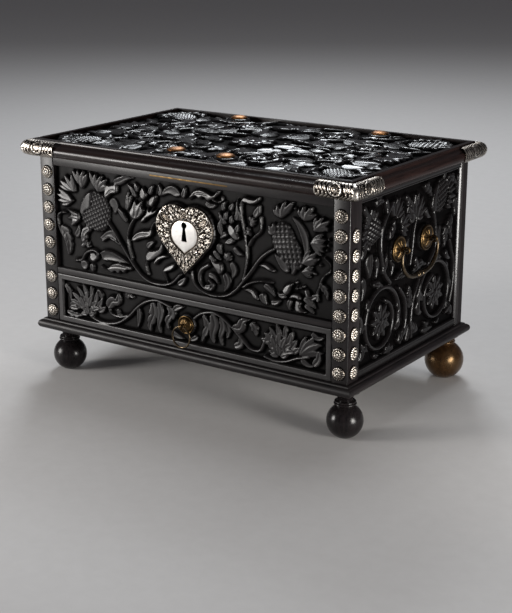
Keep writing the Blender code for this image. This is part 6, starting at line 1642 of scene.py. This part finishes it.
def corner_mount(name):
    """One mount for the corner at +X +Y: a net run round the corner and bulged over the lid's edge."""
    bpy.ops.mesh.primitive_grid_add(x_subdivisions=MOUNT_ALONG, y_subdivisions=MOUNT_ACROSS, size=1.0)
    piece = bpy.context.active_object
    piece.name = name
    net = np.array([corner.co for corner in piece.data.vertices])
    across = net[:, 1] + 0.5
    total = MOUNT_LEGS[0] + MOUNT_LEGS[1]
    pace = (net[:, 0] + 0.5) * total
    strip = Relief(pace * 1000.0, across * MOUNT_GIRTH)
    chase_mount(strip, MOUNT_LEGS[0] * 1000.0, total * 1000.0)
    end_gap = np.minimum(pace, total - pace)
    rim = np.clip(1.0 - np.abs(np.abs(across - 0.5) - 0.47) / 0.035, 0.0, 1.0) ** 0.5
    rim = np.maximum(rim, np.clip(1.0 - np.abs(end_gap - MOUNT_RIM) / MOUNT_RIM, 0.0, 1.0) ** 0.5)
    matted = 0.12 * np.sin(strip.u * 5.1) * np.sin(strip.v * 4.3 + strip.u)
    chased = np.clip(np.maximum(strip.height + matted, 0.85 * rim), 0.0, 1.1) / 1.1
    shrink = np.sqrt(np.clip(1.0 - (1.0 - np.clip(end_gap / MOUNT_END_ROUND, 0.0, 1.0)) ** 2, 0.0, 1.0))
    shrink = 0.25 + 0.75 * shrink
    middle = 0.5 * (MOUNT_ANGLES[0] + MOUNT_ANGLES[1])
    angle = np.radians(middle + (across - 0.5) * (MOUNT_ANGLES[1] - MOUNT_ANGLES[0]) * shrink)
    out = MOUNT_OUT + (MOUNT_BELLY + MOUNT_RELIEF * chased) * np.cos(angle)
    up = (MOUNT_HALF_HEIGHT + MOUNT_RELIEF * chased) * np.sin(angle)
    corner_x = LID_HALF[0] + out
    corner_y = LID_HALF[1] + out
    on_front = pace < MOUNT_LEGS[0]
    back_off = np.abs(pace - MOUNT_LEGS[0])
    end_x = NOSE_OUT[0] - MOUNT_LEGS[0]
    end_y = NOSE_OUT[1] - MOUNT_LEGS[1]
    x = np.where(on_front, corner_x + (end_x - corner_x) * back_off / MOUNT_LEGS[0], corner_x)
    y = np.where(on_front, corner_y, corner_y + (end_y - corner_y) * back_off / MOUNT_LEGS[1])
    ease = np.clip(1.0 - back_off / CORNER_ROUND, 0.0, 1.0) ** 2 * CORNER_ROUND * 0.22
    places = np.stack([x - ease, y - ease, MOUNT_LEVEL + up], axis=1)
    piece.data.vertices.foreach_set("co", places.astype(np.float32).ravel())
    mark_crest(piece, 0.22 + 0.78 * chased)
    thick = piece.modifiers.new("sheet", "SOLIDIFY")
    thick.thickness = MOUNT_SHEET
    thick.offset = -1.0
    bpy.ops.object.mode_set(mode="EDIT")
    bpy.ops.mesh.select_all(action="SELECT")
    bpy.ops.mesh.normals_make_consistent(inside=False)
    bpy.ops.object.mode_set(mode="OBJECT")
    bpy.ops.object.modifier_apply(modifier=thick.name)
    return finished(piece, 60.0)


mount_model = corner_mount("mount_model")
mount_model.data.materials.append(silver)
for corner, side_x, side_y in (("front_left", -1, -1), ("front_right", 1, -1), ("back_left", -1, 1),
                               ("back_right", 1, 1)):
    mount = copied(mount_model, "silver_corner_" + corner, Matrix.Diagonal((side_x, side_y, 1.0, 1.0)))
    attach(mount, "lid")
    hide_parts("lid_corner_" + corner)
bpy.data.objects.remove(mount_model)


# Rivet heads
# Four domed heads of copper-brown brass on plain pads of the lid. Their shanks go through the board and are
# riveted to the hinge straps and the staple plate below.
BOSS_SEAT_Z = 0.2718
BOSS_RADIUS = 0.0099
BOSS_RISE = 0.0029
BOSS_FOOT = 0.0007
COPPER_DARK = (0.095, 0.038, 0.014, 1.0)
COPPER_LIGHT = (0.370, 0.175, 0.066, 1.0)
copper = old_brass("copper-brown brass", COPPER_DARK, COPPER_LIGHT, 0.34, 0.50)
boss_profile = [(0.0, BOSS_RISE)]
for angle in range(5, 91, 5):
    swell = math.radians(angle)
    boss_profile.append((BOSS_RADIUS * 0.9 * math.sin(swell),
                         BOSS_FOOT + (BOSS_RISE - BOSS_FOOT) * math.cos(swell)))
boss_profile += [(BOSS_RADIUS * 0.92, 0.0005), (BOSS_RADIUS * 0.97, 0.0008), (BOSS_RADIUS, 0.0005)]
boss_profile += [(BOSS_RADIUS, 0.0), (0.0, 0.0)]
boss_model = turned("boss_model", boss_profile)
boss_model.data.materials.append(copper)
for corner, (x, y) in BOSS_SPOTS.items():
    seat = Matrix.Translation((x / 1000.0, y / 1000.0, BOSS_SEAT_Z))
    boss = copied(boss_model, "rivet_head_" + corner, seat)
    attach(boss, "lid")
    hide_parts("lid_boss_" + corner)
bpy.data.objects.remove(boss_model)


# Hinges
# Two forged iron strap hinges: a leaf on the back of the case, a strap let into the underside of the lid,
# and a pin through their knuckles.
for label in ("left", "right"):
    for node in ("hinge_case_leaf_", "hinge_lid_leaf_", "hinge_pin_"):
        dress(node + label, dark_iron)


# Floor, light and camera
# A plain floor of pale paper and a camera at the height and angle of the photograph. Five soft lamps: a low
# key at the front left, a broad one above, one behind for the lid, and two at the right, one of them low.
FLOOR_SIZE = 14.0
FLOOR_DARK = (0.58, 0.568, 0.56, 1.0)
FLOOR_LIGHT = (0.65, 0.64, 0.632, 1.0)
WORLD_COLOUR = (0.09, 0.088, 0.094, 1.0)
CAMERA_PLACE = (0.8527, -1.2324, 0.5408)
CAMERA_TILT = 72.906
CAMERA_TURN = 34.547
CAMERA_LENS = 80.95
CAMERA_SENSOR = 36.0
# Each lamp has its place, the level it is aimed at, its size, its power, its spread in degrees and its tint
LAMPS = (("key", (-0.95, -1.05, 0.33), 0.15, 0.45, 4.7, 100.0, (1.0, 0.97, 0.94)),
         ("top", (-0.3, 0.9, 2.4), 0.15, 1.5, 26.0, 180.0, (0.96, 0.98, 1.0)),
         ("back", (-1.05, 1.55, 1.80), 0.15, 0.56, 17.0, 180.0, (0.92, 0.96, 1.0)),
         ("side", (1.9, -0.40, 0.42), 0.15, 0.42, 3.8, 100.0, (1.0, 0.96, 0.91)),
         ("low", (0.66, -0.15, 0.10), 0.30, 0.20, 0.8, 80.0, (1.0, 0.98, 0.95)))
bpy.ops.mesh.primitive_plane_add(size=FLOOR_SIZE)
floor = bpy.context.active_object
floor.name = "floor"
floor_paper, floor_shader, floor_link = new_surface("floor paper")
fibre = grain_noise(floor_paper, 60.0, EVEN)
floor_tone = colour_ramp(floor_paper, fibre, [(0.0, FLOOR_DARK), (1.0, FLOOR_LIGHT)])
floor_link(floor_tone, floor_shader.inputs["Base Color"])
floor_shader.inputs["Roughness"].default_value = 0.7
floor.data.materials.append(floor_paper)
world = bpy.data.worlds.new("studio")
world.use_nodes = True
world.node_tree.nodes["Background"].inputs["Color"].default_value = WORLD_COLOUR
world.node_tree.nodes["Background"].inputs["Strength"].default_value = 1.0
bpy.context.scene.world = world
for name, place, aim_level, size, power, spread_angle, tint in LAMPS:
    bpy.ops.object.light_add(type="AREA", location=place)
    lamp = bpy.context.active_object
    lamp.name = name
    lamp.data.size = size
    lamp.data.energy = power
    lamp.data.spread = math.radians(spread_angle)
    lamp.data.color = tint
    lamp.visible_camera = False
    aim = Vector((0.0, 0.0, aim_level)) - Vector(place)
    lamp.rotation_euler = aim.to_track_quat("-Z", "Y").to_euler()
bpy.ops.object.camera_add(location=CAMERA_PLACE,
                          rotation=(math.radians(CAMERA_TILT), 0.0, math.radians(CAMERA_TURN)))
camera = bpy.context.active_object
camera.data.lens = CAMERA_LENS
camera.data.sensor_width = CAMERA_SENSOR
bpy.context.scene.camera = camera
bpy.context.scene.view_settings.view_transform = "Standard"
